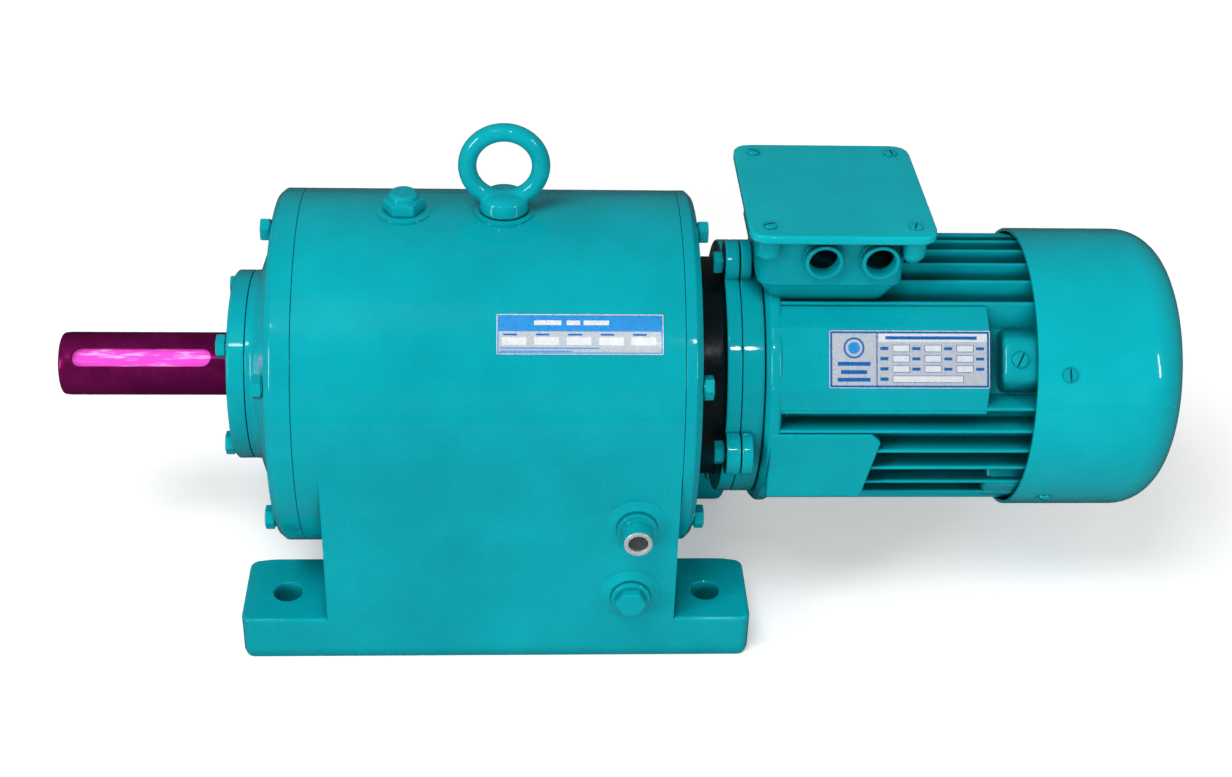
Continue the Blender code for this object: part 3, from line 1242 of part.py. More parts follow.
def cable_entries(name, radius, start, end):
    """Two equal round pieces on the axes of the cable entries, along -Y."""
    place_at = {"z": BOX_FLOOR_HEIGHT + CABLE_ENTRY_HEIGHT, "turn": TO_FRONT}
    return merged(name, [cylinder("entry", radius, start, end, x=x, **place_at) for x in CABLE_ENTRY_X])


def lid_bosses():
    """A screw boss under each corner of the lid."""
    start, end = BOX_TOP - LID_BOSS_DEPTH, BOX_TOP - STEP
    bosses = []
    for x, y in lid_screw_places():
        bosses.append(cylinder("boss", LID_BOSS_RADIUS, start, end, x=x, y=y, z=0.0, turn=UPRIGHT))
    return merged("lid_bosses", bosses)


def make_terminal_box():
    """The open box on the motor, with two cable entries and a screw boss under each corner of the lid."""
    centre = (BOX_CENTRE, 0.0, BOX_FLOOR_HEIGHT + BOX_HEIGHT / 2)
    outline = rounded_rectangle(BOX_LENGTH, 2 * BOX_HALF_WIDTH, BOX_CORNER)
    box = slab("terminal_box", outline, BOX_HEIGHT, TEAL_PAINT, centre)
    join(box, lid_bosses())
    outer_end = BOX_HALF_WIDTH + CABLE_BOSS_LENGTH
    join(box, cable_entries("cable_bosses", CABLE_BOSS_RADIUS, BOX_HALF_WIDTH - BOX_WALL / 2, outer_end))
    inside = (BOX_LENGTH - 2 * BOX_WALL, 2 * (BOX_HALF_WIDTH - BOX_WALL))
    inner = rounded_rectangle(*inside, BOX_CORNER - BOX_WALL)
    cavity_centre = (BOX_CENTRE, 0.0, BOX_FLOOR_HEIGHT + BOX_WALL + BOX_HEIGHT / 2)
    cut(box, slab("box_cavity", inner, BOX_HEIGHT, None, cavity_centre))
    start = BOX_HALF_WIDTH - 2 * BOX_WALL
    cut(box, cable_entries("cable_holes", CABLE_ENTRY_RADIUS, start, outer_end + OVERLAP))
    wire_end = BOX_WALL + OVERLAP
    wire_place = {"x": BOX_CENTRE, "z": BOX_FLOOR_HEIGHT, "turn": UPRIGHT}
    cut(box, cylinder("box_wire_hole", WIRE_HOLE_RADIUS, -OVERLAP, wire_end, **wire_place))


def make_lid():
    """The lid of the terminal box, wider than the box."""
    outline = rounded_rectangle(LID_LENGTH, LID_WIDTH, LID_CORNER)
    centre = (LID_CENTRE, 0.0, LID_BOTTOM + LID_THICKNESS / 2)
    slab("terminal_box_lid", outline, LID_THICKNESS, TEAL_PAINT, centre)


def make_terminal_board():
    """The moulded board inside the box, with six studs."""
    length, width, thickness = BOARD_SIZE
    low = BOX_FLOOR_HEIGHT + BOX_WALL + CLEARANCE
    x = BOX_END - BOX_CORNER - length / 2
    corner = (x + length / 2, width / 2, low + thickness)
    board = block("terminal_board", (x - length / 2, -width / 2, low), corner, MOULDED_BLACK)
    step_x, step_y = STUD_SPACING
    studs = []
    for row in (-0.5, 0.5):
        for column in (-1, 0, 1):
            place_at = {"x": x + column * step_x, "y": row * step_y, "z": low, "turn": UPRIGHT}
            studs.append(cylinder("stud", STUD_RADIUS, OVERLAP, STUD_HEIGHT, rounds=TINY_ROUND, **place_at))
    join(board, merged("studs", studs))


def make_eye_bolt():
    """The lifting eye on top of the housing: a ring on a collar, with a shank in the drum's wall."""
    bottom = DRUM_RADIUS + SPOT_HEIGHT + CLEARANCE
    top = bottom + EYE_COLLAR_HEIGHT
    shank_bottom = DRUM_RADIUS - CASTING_WALL
    shank = EYE_SHANK_RADIUS - CLEARANCE
    section = [
        (shank_bottom, 0.0), (shank_bottom, shank), (bottom, shank), (bottom, EYE_COLLAR_RADIUS),
        (bottom + EYE_COLLAR_HEIGHT / 2, EYE_COLLAR_RADIUS), (top, EYE_NECK_RADIUS), (top, 0.0),
    ]
    eye = turned("eye_bolt", section, TEAL_PAINT, x=EYE_BOLT_X, turn=UPRIGHT, rounds=SMALL_ROUND)
    last = 360.0 - 360.0 / EYE_WIRE_ROUND
    wire = arc((0.0, EYE_RING_RADIUS), EYE_WIRE_RADIUS, 0.0, last, EYE_WIRE_ROUND - 1)
    centre = AXIS_HEIGHT + top + EYE_RING_RADIUS - EYE_WIRE_RADIUS / 2
    place_at = {"x": EYE_BOLT_X, "z": centre, "turn": TO_FRONT}
    join(eye, turned("eye_ring", wire, None, rounds=MEDIUM_ROUND, **place_at))


def make_breather_plug():
    """The vented plug on top of the housing: a hexagon under a round cap."""
    seat = DRUM_RADIUS + SPOT_HEIGHT + CLEARANCE
    hex_top = seat + BREATHER_HEX_HEIGHT
    top = seat + BREATHER_CAP_TOP
    place_at = {"x": BREATHER_X, "turn": UPRIGHT}
    breather = hex_head("breather_plug", BREATHER_FLATS, seat, hex_top, TEAL_PAINT, **place_at)
    radius, edge = BREATHER_CAP_RADIUS, BREATHER_CAP_EDGE
    low = hex_top - OVERLAP
    cap = [(low, 0.0), (low, radius), (top - edge, radius), (top, radius - edge), (top, 0.0)]
    join(breather, turned("breather_cap", cap, None, rounds=SMALL_ROUND, **place_at))
    shank_radius = BREATHER_SHANK_RADIUS - CLEARANCE
    join(breather, cylinder("breather_shank", shank_radius, seat - CASTING_WALL, seat + OVERLAP, **place_at))


def plug_collar_section(head):
    """The half section of a plug's shank and collar, followed by the points of its head."""
    seat = DRUM_RADIUS + PLUG_BOSS_HEIGHT + CLEARANCE
    root = seat - CASTING_WALL
    shank = PLUG_SHANK_RADIUS - CLEARANCE
    collar = seat + PLUG_COLLAR
    return [
        (root, 0.0), (root, shank), (seat, shank), (seat, PLUG_COLLAR_RADIUS), (collar, PLUG_COLLAR_RADIUS),
        *head,
    ]


def make_oil_sight_glass():
    """The oil sight glass in the side of the housing, with its window."""
    seat = DRUM_RADIUS + PLUG_BOSS_HEIGHT + CLEARANCE
    rim = seat + SIGHT_GLASS_LENGTH
    floor = rim - SIGHT_GLASS_RECESS
    place_at = {"x": SIGHT_GLASS_X, "z": SIGHT_GLASS_Z, "turn": TO_FRONT, "rounds": MEDIUM_ROUND}
    head = [
        (seat + PLUG_COLLAR, SIGHT_GLASS_RADIUS), (rim, SIGHT_GLASS_RADIUS), (rim, SIGHT_GLASS_BORE),
        (floor, SIGHT_GLASS_BORE), (floor, 0.0),
    ]
    turned("oil_sight_glass", plug_collar_section(head), CHROME, **place_at)
    start = floor + CLEARANCE
    radius = SIGHT_GLASS_BORE - CLEARANCE
    cylinder("sight_glass_window", radius, start, start + SIGHT_WINDOW_THICKNESS, DARK_GLASS, **place_at)


def make_drain_plug():
    """The drain plug under the sight glass: a collar with a hexagon head."""
    seat = DRUM_RADIUS + PLUG_BOSS_HEIGHT + CLEARANCE
    place_at = {"x": DRAIN_PLUG_X, "z": DRAIN_PLUG_Z, "turn": TO_FRONT}
    section = plug_collar_section([(seat + PLUG_COLLAR, 0.0)])
    plug = turned("drain_plug", section, TEAL_PAINT, rounds=SMALL_ROUND, **place_at)
    join(plug, hex_head("drain_plug_head", PLUG_FLATS, seat + OVERLAP, seat + PLUG_HEIGHT, **place_at))


def main():
    start_scene()
    make_gear_housing()
    make_front_cover()
    make_output_bearing_cap()
    make_oil_seals()
    make_rear_cover()
    make_bearings()
    make_bolts()
    make_output_shaft()
    make_output_wheel()
    make_layshaft()
    make_layshaft_wheel()
    make_motor_adapter()
    make_front_endshield()
    make_motor_frame()
    make_stator()
    make_rotor()
    make_rear_endshield()
    make_fan()
    make_fan_cowl()
    make_terminal_box()
    make_lid()
    make_terminal_board()
    make_eye_bolt()
    make_breather_plug()
    make_oil_sight_glass()
    make_drain_plug()


main()
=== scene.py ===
# %% [markdown]
# # The looks of a helical gear motor
# The imported CAD part is the frame: every size and every place below comes from it. This lesson puts the
# enamel, the cast roundings, the plates and the screws on top of it, and lights it as in the photograph.

# %%
# Load the fixed frame: its CAD parts and its record.
import json
import math

import bmesh
import bpy
from mathutils import Matrix, Vector


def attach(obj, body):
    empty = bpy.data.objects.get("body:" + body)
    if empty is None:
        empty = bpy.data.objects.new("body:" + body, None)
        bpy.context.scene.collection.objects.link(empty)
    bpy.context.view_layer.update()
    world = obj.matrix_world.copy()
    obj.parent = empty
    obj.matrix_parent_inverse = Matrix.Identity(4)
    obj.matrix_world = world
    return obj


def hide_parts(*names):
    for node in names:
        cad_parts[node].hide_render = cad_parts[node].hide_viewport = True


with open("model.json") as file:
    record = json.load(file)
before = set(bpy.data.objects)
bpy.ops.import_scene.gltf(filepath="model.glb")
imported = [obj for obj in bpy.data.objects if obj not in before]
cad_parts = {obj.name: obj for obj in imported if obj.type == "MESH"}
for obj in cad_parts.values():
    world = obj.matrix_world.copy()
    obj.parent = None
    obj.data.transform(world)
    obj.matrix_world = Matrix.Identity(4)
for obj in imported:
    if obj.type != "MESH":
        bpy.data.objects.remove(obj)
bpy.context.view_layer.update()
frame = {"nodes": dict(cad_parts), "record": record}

# %% [markdown]
# ## Camera
# The camera was fitted to 26 points of the photograph, such as the corners of the base, the foot holes and
# the lid's screws. It looks down by 34 degrees from the near side, a little from the left. The roll of two
# degrees is in the photograph too: the object there leans slightly to the right.

# %%
# Place the camera from its three angles.
YAW, PITCH, ROLL = (math.radians(angle) for angle in (3.71, 33.82, 2.18))
CAMERA_PLACE = Vector((0.0099, -1.0252, 0.8177))
LENS = 55.58

ahead = Vector((math.sin(YAW) * math.cos(PITCH), math.cos(YAW) * math.cos(PITCH), -math.sin(PITCH)))
level = Vector((math.cos(YAW), -math.sin(YAW), 0.0))
upward = level.cross(ahead)
right = math.cos(ROLL) * level + math.sin(ROLL) * upward
above = math.cos(ROLL) * upward - math.sin(ROLL) * level

camera_data = bpy.data.cameras.new("photo_camera")
camera_data.lens = LENS
camera = bpy.data.objects.new("photo_camera", camera_data)
bpy.context.scene.collection.objects.link(camera)
turn = Matrix((right, above, -ahead)).transposed()
camera.matrix_world = Matrix.Translation(CAMERA_PLACE) @ turn.to_4x4()
bpy.context.scene.camera = camera
print("camera looks along", [round(v, 3) for v in ahead])

# %% [markdown]
# ## Shaping tools
# A gear motor is made of turned parts, flat plates and castings, so three tools make nearly all of it: a
# half section spun round an axis, an outline pushed to a thickness, and a Boolean for holes. Corners of a
# half section are rounded before it is spun, because that gives a clean fillet all the way round.

# %%
# Outlines and half sections.
AXIS = 0.148
ROUND, FINE_ROUND = 96, 128
FILLET_STEPS = 4
FLATTEST = math.radians(88.0)
WELD = 1e-6


def arc(centre, radius, start, end, steps):
    """Points on an arc between two angles in degrees, both ends included."""
    angles = [math.radians(start + (end - start) * i / steps) for i in range(steps + 1)]
    return [(centre[0] + radius * math.cos(a), centre[1] + radius * math.sin(a)) for a in angles]


def fillet(before, corner, after, radius):
    """The points of a round corner that touches both of its sides."""
    before, corner, after = Vector(before), Vector(corner), Vector(after)
    one, two = (before - corner), (after - corner)
    half = one.angle(two) / 2
    if radius <= 0.0 or half > FLATTEST:
        return [tuple(corner)]
    reach = min(radius / math.tan(half), 0.48 * one.length, 0.48 * two.length)
    start, end = corner + one.normalized() * reach, corner + two.normalized() * reach
    points = []
    for i in range(FILLET_STEPS + 1):
        t = i / FILLET_STEPS
        points.append(tuple(start * (1 - t) ** 2 + corner * 2 * t * (1 - t) + end * t ** 2))
    return points


def rounded(points, radius, closed=False):
    """An outline or a half section with its corners rounded: one radius, or one for each point."""
    count = len(points)
    radii = radius if isinstance(radius, (list, tuple)) else [radius] * count
    made = []
    for i, (point, r) in enumerate(zip(points, radii)):
        if not closed and i in (0, count - 1):
            made.append(tuple(point))
        else:
            made += fillet(points[i - 1], point, points[(i + 1) % count], r)
    return made


def rectangle(length, width, corner):
    """A rounded rectangle around the origin."""
    x, y = length / 2, width / 2
    return rounded([(x, y), (-x, y), (-x, -y), (x, -y)], corner, closed=True)


# %%
# Solids: spun, pushed and rounded.
def spun(section, steps=ROUND, closed=False):
    """A half section of (height, radius) points spun round the Z axis."""
    bm = bmesh.new()
    verts = [bm.verts.new((radius, 0.0, height)) for height, radius in section]
    edges = [bm.edges.new(pair) for pair in zip(verts, verts[1:])]
    if closed:
        edges.append(bm.edges.new((verts[-1], verts[0])))
    bmesh.ops.spin(
        bm, geom=verts + edges, cent=(0, 0, 0), axis=(0, 0, 1), angle=2 * math.pi, steps=steps, use_merge=True
    )
    return cleaned(bm)


def cleaned(bm):
    """Closes seams and poles, then turns every face outward."""
    bmesh.ops.remove_doubles(bm, verts=bm.verts, dist=WELD)
    bmesh.ops.recalc_face_normals(bm, faces=bm.faces)
    return bm


def turned(section, radii, steps=ROUND, closed=False):
    """A half section spun round the Z axis, with a fillet at each of its corners."""
    return spun(rounded(section, radii, closed), steps, closed)


def drawn_out(bm, faces, step):
    """Extrudes flat faces by a step and returns the moved faces."""
    made = bmesh.ops.extrude_face_region(bm, geom=faces)["geom"]
    bmesh.ops.translate(bm, vec=step, verts=[v for v in made if isinstance(v, bmesh.types.BMVert)])
    return [f for f in made if isinstance(f, bmesh.types.BMFace)]


def pushed(outline, low, high, edge=0.0, both=False):
    """An outline in X and Y pushed from one height to another, with round edges on top or on both sides."""
    bm = bmesh.new()
    face = bm.faces.new([bm.verts.new((x, y, low)) for x, y in outline])
    drawn_out(bm, [face], (0, 0, high - low))
    cleaned(bm)
    if edge > 0.0:
        heights = (low, high) if both else (high,)
        rim = [e for e in bm.edges if any(all(abs(v.co.z - h) < WELD for v in e.verts) for h in heights)]
        soften(bm, rim, edge)
    return bm


def soften(bm, edges, width, segments=3):
    """Rounds the given edges."""
    bmesh.ops.bevel(
        bm, geom=edges, offset=width, segments=segments, profile=0.5, affect="EDGES", material=-1,
        clamp_overlap=True,
    )
    return bm


def slab(low, high, edge=0.0):
    """A block between two corners with all its edges rounded."""
    bm = bmesh.new()
    size = [h - l for l, h in zip(low, high)]
    middle = [(h + l) / 2 for l, h in zip(low, high)]
    bmesh.ops.create_cube(bm, size=1.0)
    bmesh.ops.scale(bm, vec=size, verts=bm.verts)
    bmesh.ops.translate(bm, vec=middle, verts=bm.verts)
    if edge > 0.0:
        soften(bm, list(bm.edges), edge)
    return bm


# %%
# Places on the object. Each gives the matrix that stands a shape, made round the Z axis, where it belongs.
def put(bm, matrix):
    """Moves a shape by a matrix."""
    bmesh.ops.transform(bm, matrix=matrix, verts=bm.verts)
    return bm


def turn_about(axis, degrees):
    """The matrix of a turn about one of the three axes."""
    return Matrix.Rotation(math.radians(degrees), 4, axis)


def along_shaft(x=0.0, y=0.0, z=AXIS):
    """The matrix that lays a shape's own Z axis along the shafts."""
    return Matrix.Translation((x, y, z)) @ turn_about("Y", 90.0)


def out_front(x, z, y=0.0):
    """The matrix that points a shape's own Z axis at the camera's side."""
    return Matrix.Translation((x, y, z)) @ turn_about("X", 90.0)


def on_top(x, y=0.0, z=AXIS):
    """The matrix that stands a shape on a place, its own Z axis upward."""
    return Matrix.Translation((x, y, z))


def round_axis(radius, degrees):
    """The Y and Z of a point on a circle round the main axis."""
    angle = math.radians(degrees)
    return radius * math.cos(angle), AXIS + radius * math.sin(angle)


# %%
# Shapes gathered, joined and bored.
def gathered(*shapes):
    """Several shapes as one mesh."""
    whole = bmesh.new()
    for bm in shapes:
        mesh = bpy.data.meshes.new("part")
        bm.to_mesh(mesh)
        bm.free()
        whole.from_mesh(mesh)
        bpy.data.meshes.remove(mesh)
    return whole


def plain_object(bm, name="work"):
    """A shape as an object of its own, for a modifier to work on."""
    mesh = bpy.data.meshes.new(name)
    bm.to_mesh(mesh)
    bm.free()
    item = bpy.data.objects.new(name, mesh)
    bpy.context.scene.collection.objects.link(item)
    return item


def applied(item):
    """The shape that an object's modifiers make of it. The object itself is removed."""
    depsgraph = bpy.context.evaluated_depsgraph_get()
    mesh = bpy.data.meshes.new_from_object(item.evaluated_get(depsgraph))
    bm = bmesh.new()
    bm.from_mesh(mesh)
    old = item.data
    bpy.data.objects.remove(item)
    bpy.data.meshes.remove(old)
    bpy.data.meshes.remove(mesh)
    return bm


def carved(bm, *tools, operation="DIFFERENCE"):
    """A shape with others taken out of it, or joined to it, by exact Booleans."""
    item = plain_object(bm)
    others = [plain_object(tool, "tool") for tool in tools]
    for other in others:
        step = item.modifiers.new("cut", "BOOLEAN")
        step.operation, step.object, step.solver = operation, other, "EXACT"
    made = applied(item)
    for other in others:
        mesh = other.data
        bpy.data.objects.remove(other)
        bpy.data.meshes.remove(mesh)
    return cleaned(made)


# %% [markdown]
# ## Putting a piece into the scene
# A finished piece is shaded smooth except at its sharp edges, gets its material and rides on the body whose
# CAD node it stands for. A weighted normal modifier keeps large flat faces flat beside small roundings. Some
# pieces have a second finish on a few of their faces, which a test on the face picks out.

# %%
# Turn a shape into a piece of the object.
CREASE = math.radians(32.0)


def piece(name, bm, material, body="housing", nodes=(), crease=CREASE, weighted=True):
    """Adds a finished shape to the object."""
    cleaned(bm)
    for face in bm.faces:
        face.smooth = True
    for edge in bm.edges:
        edge.smooth = len(edge.link_faces) == 2 and edge.calc_face_angle(math.pi) < crease
    item = plain_object(bm, name)
    item.data.materials.append(material)
    if weighted:
        item.modifiers.new("even shading", "WEIGHTED_NORMAL").keep_sharp = True
    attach(item, body)
    if nodes:
        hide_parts(*nodes)
    print(f"{name}: {len(item.data.polygons)} faces")
    return item


def second_finish(item, material, test):
    """Gives another material to the faces of a piece that pass a test."""
    item.data.materials.append(material)
    chosen = [face for face in item.data.polygons if test(face)]
    for face in chosen:
        face.material_index = 1
    print(f"{item.name}: {len(chosen)} faces in {material.name}")


# %% [markdown]
# ## Writing materials as arithmetic
# Paint, steel and print are built from a few textures and a lot of arithmetic. One class wraps a socket, so
# that `1 - mask * 0.5` makes the Math nodes, and another adds every other kind of node.

# %%
# A socket that takes part in arithmetic, and a material that makes nodes.
class Socket:
    """An output socket. Arithmetic on it adds Math nodes to its material."""

    def __init__(self, paint, link):
        self.paint, self.link = paint, link

    def math(self, operation, *others, swapped=False):
        values = [self, *others]
        if swapped:
            values.reverse()
        return self.paint.add("Math", {"operation": operation}, dict(enumerate(values)))

    def __add__(self, other):
        return self.math("ADD", other)

    def __sub__(self, other):
        return self.math("SUBTRACT", other)

    def __mul__(self, other):
        return self.math("MULTIPLY", other)

    def __truediv__(self, other):
        return self.math("DIVIDE", other)

    def __rsub__(self, other):
        return self.math("SUBTRACT", other, swapped=True)

    def __rtruediv__(self, other):
        return self.math("DIVIDE", other, swapped=True)

    __radd__ = __add__
    __rmul__ = __mul__

    def above(self, level):
        return self.math("GREATER_THAN", level)

    def below(self, level):
        return self.math("LESS_THAN", level)


class Paint:
    """A node material under construction, or the nodes of a world."""

    def __init__(self, name, owner=None):
        self.material = owner or bpy.data.materials.new(name)
        self.material.use_nodes = True
        self.tree = self.material.node_tree
        self.tree.nodes.clear()

    def add(self, kind, settings=None, values=None, output=0):
        """Adds one node with its settings, and its inputs as values or links, and returns an output."""
        node = self.tree.nodes.new(f"ShaderNode{kind}")
        for key, setting in (settings or {}).items():
            setattr(node, key, setting)
        for key, value in (values or {}).items():
            if isinstance(value, Socket):
                self.tree.links.new(value.link, node.inputs[key])
            else:
                node.inputs[key].default_value = value
        return Socket(self, node.outputs[output]) if len(node.outputs) else None

    def place(self):
        """Object coordinates in metres."""
        return self.add("TexCoord", output="Object")

    def noise(self, place, scale, detail=2.0, rough=0.5):
        """Smooth noise around 0.5 with so many waves in a metre."""
        values = {"Vector": place, "Scale": scale, "Detail": detail, "Roughness": rough}
        return self.add("TexNoise", values=values)

    def fade(self, value, low, high, start=0.0, end=1.0):
        """A value carried smoothly from one range to another, and held at its ends."""
        values = {0: value, 1: low, 2: high, 3: start, 4: end}
        return self.add("MapRange", {"interpolation_type": "SMOOTHSTEP"}, values)

    def blend(self, share, one, two):
        """A mix of two colours."""
        values = {0: share, 6: one, 7: two}
        return self.add("Mix", {"data_type": "RGBA"}, values, output=2)

    def parts(self, vector):
        """The three numbers of a vector."""
        node = self.add("SeparateXYZ", values={0: vector}).link.node
        return [Socket(self, output) for output in node.outputs]

    def stretched(self, vector, by):
        """A vector multiplied part by part."""
        return self.add("VectorMath", {"operation": "MULTIPLY"}, {0: vector, 1: by})

    def bump(self, height, distance, strength=1.0):
        """A normal bent by a height in 0 to 1, where 1 stands for a distance in metres."""
        return self.add("Bump", values={"Height": height, "Distance": distance, "Strength": strength})

    def surface(self, **values):
        """Ends the material in one Principled shader."""
        named = {key.replace("_", " "): value for key, value in values.items()}
        shader = self.add("BsdfPrincipled", values=named)
        self.add("OutputMaterial", values={"Surface": shader})
        return self.material


# %% [markdown]
# ## Enamel
# The whole machine is sprayed with one thick teal enamel over castings that were hardly smoothed. It shows
# broad changes of tone, an uneven cast ground, orange peel from the gun, and a few specks of dust caught in
# the wet paint. The ground, the peel and the specks bend the reflections, so they are bump. The tone changes
# the colour. Crevices and recesses get painted shade: Ambient Occlusion darkens their colour towards a deep
# teal.
# A hard clear coat over a dull base gives small sharp highlights on a saturated colour, as thick gloss paint
# has.

# %%
# Teal enamel for castings, motor parts, sheet and fasteners. The sheet's is a little lighter: painted light,
# which makes the lid and the cowl brighter.
TEAL_DEEP = (0.0006, 0.310, 0.365, 1.0)
TEAL_LIGHT = (0.0016, 0.400, 0.465, 1.0)
BRIGHTENED_SHEET_DEEP = (0.0009, 0.405, 0.470, 1.0)
BRIGHTENED_SHEET_LIGHT = (0.0022, 0.490, 0.560, 1.0)
TEAL_SHADE = (0.0002, 0.070, 0.085, 1.0)
TEAL_TINT = (0.12, 0.90, 1.0, 1.0)
CREVICE_REACH = 0.016
PAINT_RELIEF = 0.0011


def enamel(name, ground, peel, roughness, specks=0.6, deep=TEAL_DEEP, light=TEAL_LIGHT):
    """Thick glossy paint. Ground and peel are the heights of the cast ground and of the orange peel."""
    paint = Paint(name)
    place = paint.place()
    tone = paint.fade(paint.noise(place, 7.0, 3.0), 0.30, 0.70)
    patch = paint.fade(paint.noise(place, 34.0, 4.0, 0.6), 0.35, 0.75)
    colour = paint.blend(tone * 0.7 + patch * 0.3, deep, light)
    # Painted shade: Ambient Occlusion darkens the colour towards TEAL_SHADE in crevices, recesses and between
    # parts.
    open_air = paint.add("AmbientOcclusion", {"samples": 8}, {"Distance": CREVICE_REACH}, output="AO")
    colour = paint.blend(paint.fade(open_air, 0.25, 0.80), TEAL_SHADE, colour)
    cells = paint.add("TexVoronoi", values={"Vector": place, "Scale": 95.0}, output="Distance")
    chosen = paint.noise(place, 21.0, 1.0).above(0.60)
    speck = paint.fade(cells, 0.02, 0.11, 1.0, 0.0) * chosen * specks
    height = paint.noise(place, 16.0, 2.0) * ground + paint.noise(place, 60.0, 3.0) * ground * 0.45
    height = height + paint.noise(place, 420.0, 2.0) * peel + speck * 0.35
    rough = paint.fade(paint.noise(place, 48.0, 4.0, 0.65), 0.3, 0.75, roughness - 0.05, roughness + 0.09)
    return paint.surface(
        Base_Color=colour, Roughness=rough, Specular_IOR_Level=0.20, Specular_Tint=TEAL_TINT,
        Coat_Weight=0.9, Coat_Roughness=0.05, Normal=paint.bump(height, PAINT_RELIEF),
    )


casting_enamel = enamel("casting_enamel", ground=0.75, peel=0.045, roughness=0.26)
motor_enamel = enamel("motor_enamel", ground=0.70, peel=0.040, roughness=0.28)
sheet_enamel = enamel("sheet_enamel", ground=0.40, peel=0.025, roughness=0.24, specks=0.3,
                      deep=BRIGHTENED_SHEET_DEEP, light=BRIGHTENED_SHEET_LIGHT)
fastener_enamel = enamel("fastener_enamel", ground=0.30, peel=0.060, roughness=0.24, specks=0.0)

# %% [markdown]
# ## Steel, rubber, plastic and glass
# The free shaft end is protected with a clear magenta lacquer over ground steel, so it is coloured metal:
# dark where it mirrors the room and bright where it mirrors a lamp. Its keyway was milled after turning and
# its flat floor scatters the light, which makes it a bright pink. A faint glow of the same colour stands for
# the light that goes to and fro between the keyway's walls.

# %%
# Metals.
TOOL_MARK = 0.00003


def steel(name, dark, light, roughness, streaks=(300.0, 18.0, 18.0), metallic=1.0, edge=(1.0, 1.0, 1.0)):
    """Worked steel with fine tool marks, closest together along the first axis, and a tint at its edges."""
    paint = Paint(name)
    place = paint.place()
    marks = paint.noise(paint.stretched(place, streaks), 6.0, 4.0, 0.6)
    stain = paint.fade(paint.noise(place, 30.0, 4.0, 0.6), 0.35, 0.7)
    colour = paint.blend(marks * 0.5 + stain * 0.5, (*dark, 1.0), (*light, 1.0))
    rough = paint.fade(stain + marks, 0.5, 1.5, roughness, roughness + 0.16)
    return paint.surface(
        Base_Color=colour, Metallic=metallic, Roughness=rough, Specular_Tint=(*edge, 1.0),
        Normal=paint.bump(marks, TOOL_MARK),
    )


shaft_lacquer = steel(
    "shaft_lacquer", (0.150, 0.004, 0.065), (0.360, 0.015, 0.180), 0.20, metallic=0.7, edge=(0.30, 0.01, 0.12)
)
machined_steel = steel("machined_steel", (0.34, 0.35, 0.37), (0.58, 0.59, 0.61), 0.26)
bearing_steel = steel("bearing_steel", (0.52, 0.53, 0.55), (0.72, 0.73, 0.75), 0.12)
chrome = steel("plated_rim", (0.62, 0.64, 0.65), (0.92, 0.94, 0.95), 0.12, metallic=0.55)


def keyway_lacquer():
    """The milled floor of the keyway: lacquer over cutter marks, with pale streaks of painted highlight and a
    faint painted glow.
    """
    paint = Paint("keyway_lacquer")
    place = paint.place()
    drift = paint.noise(paint.stretched(place, (20.0, 160.0, 160.0)), 2.6, 4.0, 0.6)
    # Painted highlight: the pale streaks stand for light reflected along the keyway's floor.
    pale = paint.fade(drift, 0.50, 0.74)
    colour = paint.blend(pale, (0.86, 0.055, 0.62, 1.0), (1.0, 0.52, 0.93, 1.0))
    # The emission is a painted glow, for the light that goes between the keyway's walls.
    return paint.surface(
        Base_Color=colour, Metallic=0.15, Roughness=0.42, Specular_IOR_Level=0.4,
        Emission_Color=colour, Emission_Strength=0.16, Normal=paint.bump(drift, 0.0002),
    )


keyway_pink = keyway_lacquer()
SHEETS_PER_METRE = 2000.0


def laminations():
    """Stacked sheets of electrical steel: half-millimetre rings along the shaft."""
    paint = Paint("laminated_steel")
    place = paint.place()
    x, _, _ = paint.parts(place)
    sheet = (x * SHEETS_PER_METRE).math("FRACT")
    edge = paint.fade(sheet, 0.0, 0.25)
    colour = paint.blend(paint.noise(place, 50.0, 3.0), (0.10, 0.10, 0.11, 1.0), (0.24, 0.24, 0.25, 1.0))
    return paint.surface(Base_Color=colour, Metallic=0.9, Roughness=0.45, Normal=paint.bump(edge, 0.0001))


laminated_steel = laminations()

# %%
# Rubber, plastics, glass and the near-black teal of the motor's neck.
def moulded(name, dark, light, roughness, grain=700.0, height=0.00008, coat=0.0):
    """A moulded material with a fine grain and faint clouds."""
    paint = Paint(name)
    place = paint.place()
    cloud = paint.fade(paint.noise(place, 25.0, 3.0), 0.3, 0.7)
    texture = paint.noise(place, grain, 2.0)
    colour = paint.blend(cloud, (*dark, 1.0), (*light, 1.0))
    rough = paint.fade(texture, 0.3, 0.7, roughness - 0.06, roughness + 0.08)
    normal = paint.bump(texture, height)
    return paint.surface(Base_Color=colour, Roughness=rough, Coat_Weight=coat, Normal=normal)


seal_rubber = moulded("seal_rubber", (0.010, 0.010, 0.010), (0.022, 0.022, 0.022), 0.55)
fan_plastic = moulded("fan_plastic", (0.020, 0.021, 0.022), (0.040, 0.041, 0.043), 0.45)
board_plastic = moulded("board_plastic", (0.014, 0.014, 0.014), (0.030, 0.028, 0.026), 0.35)
dark_glass = moulded("dark_glass", (0.010, 0.016, 0.018), (0.060, 0.070, 0.072), 0.14, 90.0, 0.0002, coat=1.0)
neck_black = moulded("neck_black", (0.001, 0.004, 0.005), (0.002, 0.010, 0.012), 0.30, 60.0, 0.0006)
print("materials:", len(bpy.data.materials))

# %% [markdown]
# ## Finishes of the parts that keep their CAD shape
# Gears, bearings and the other inner parts are right as they are. Each gets its better finish by its slot.

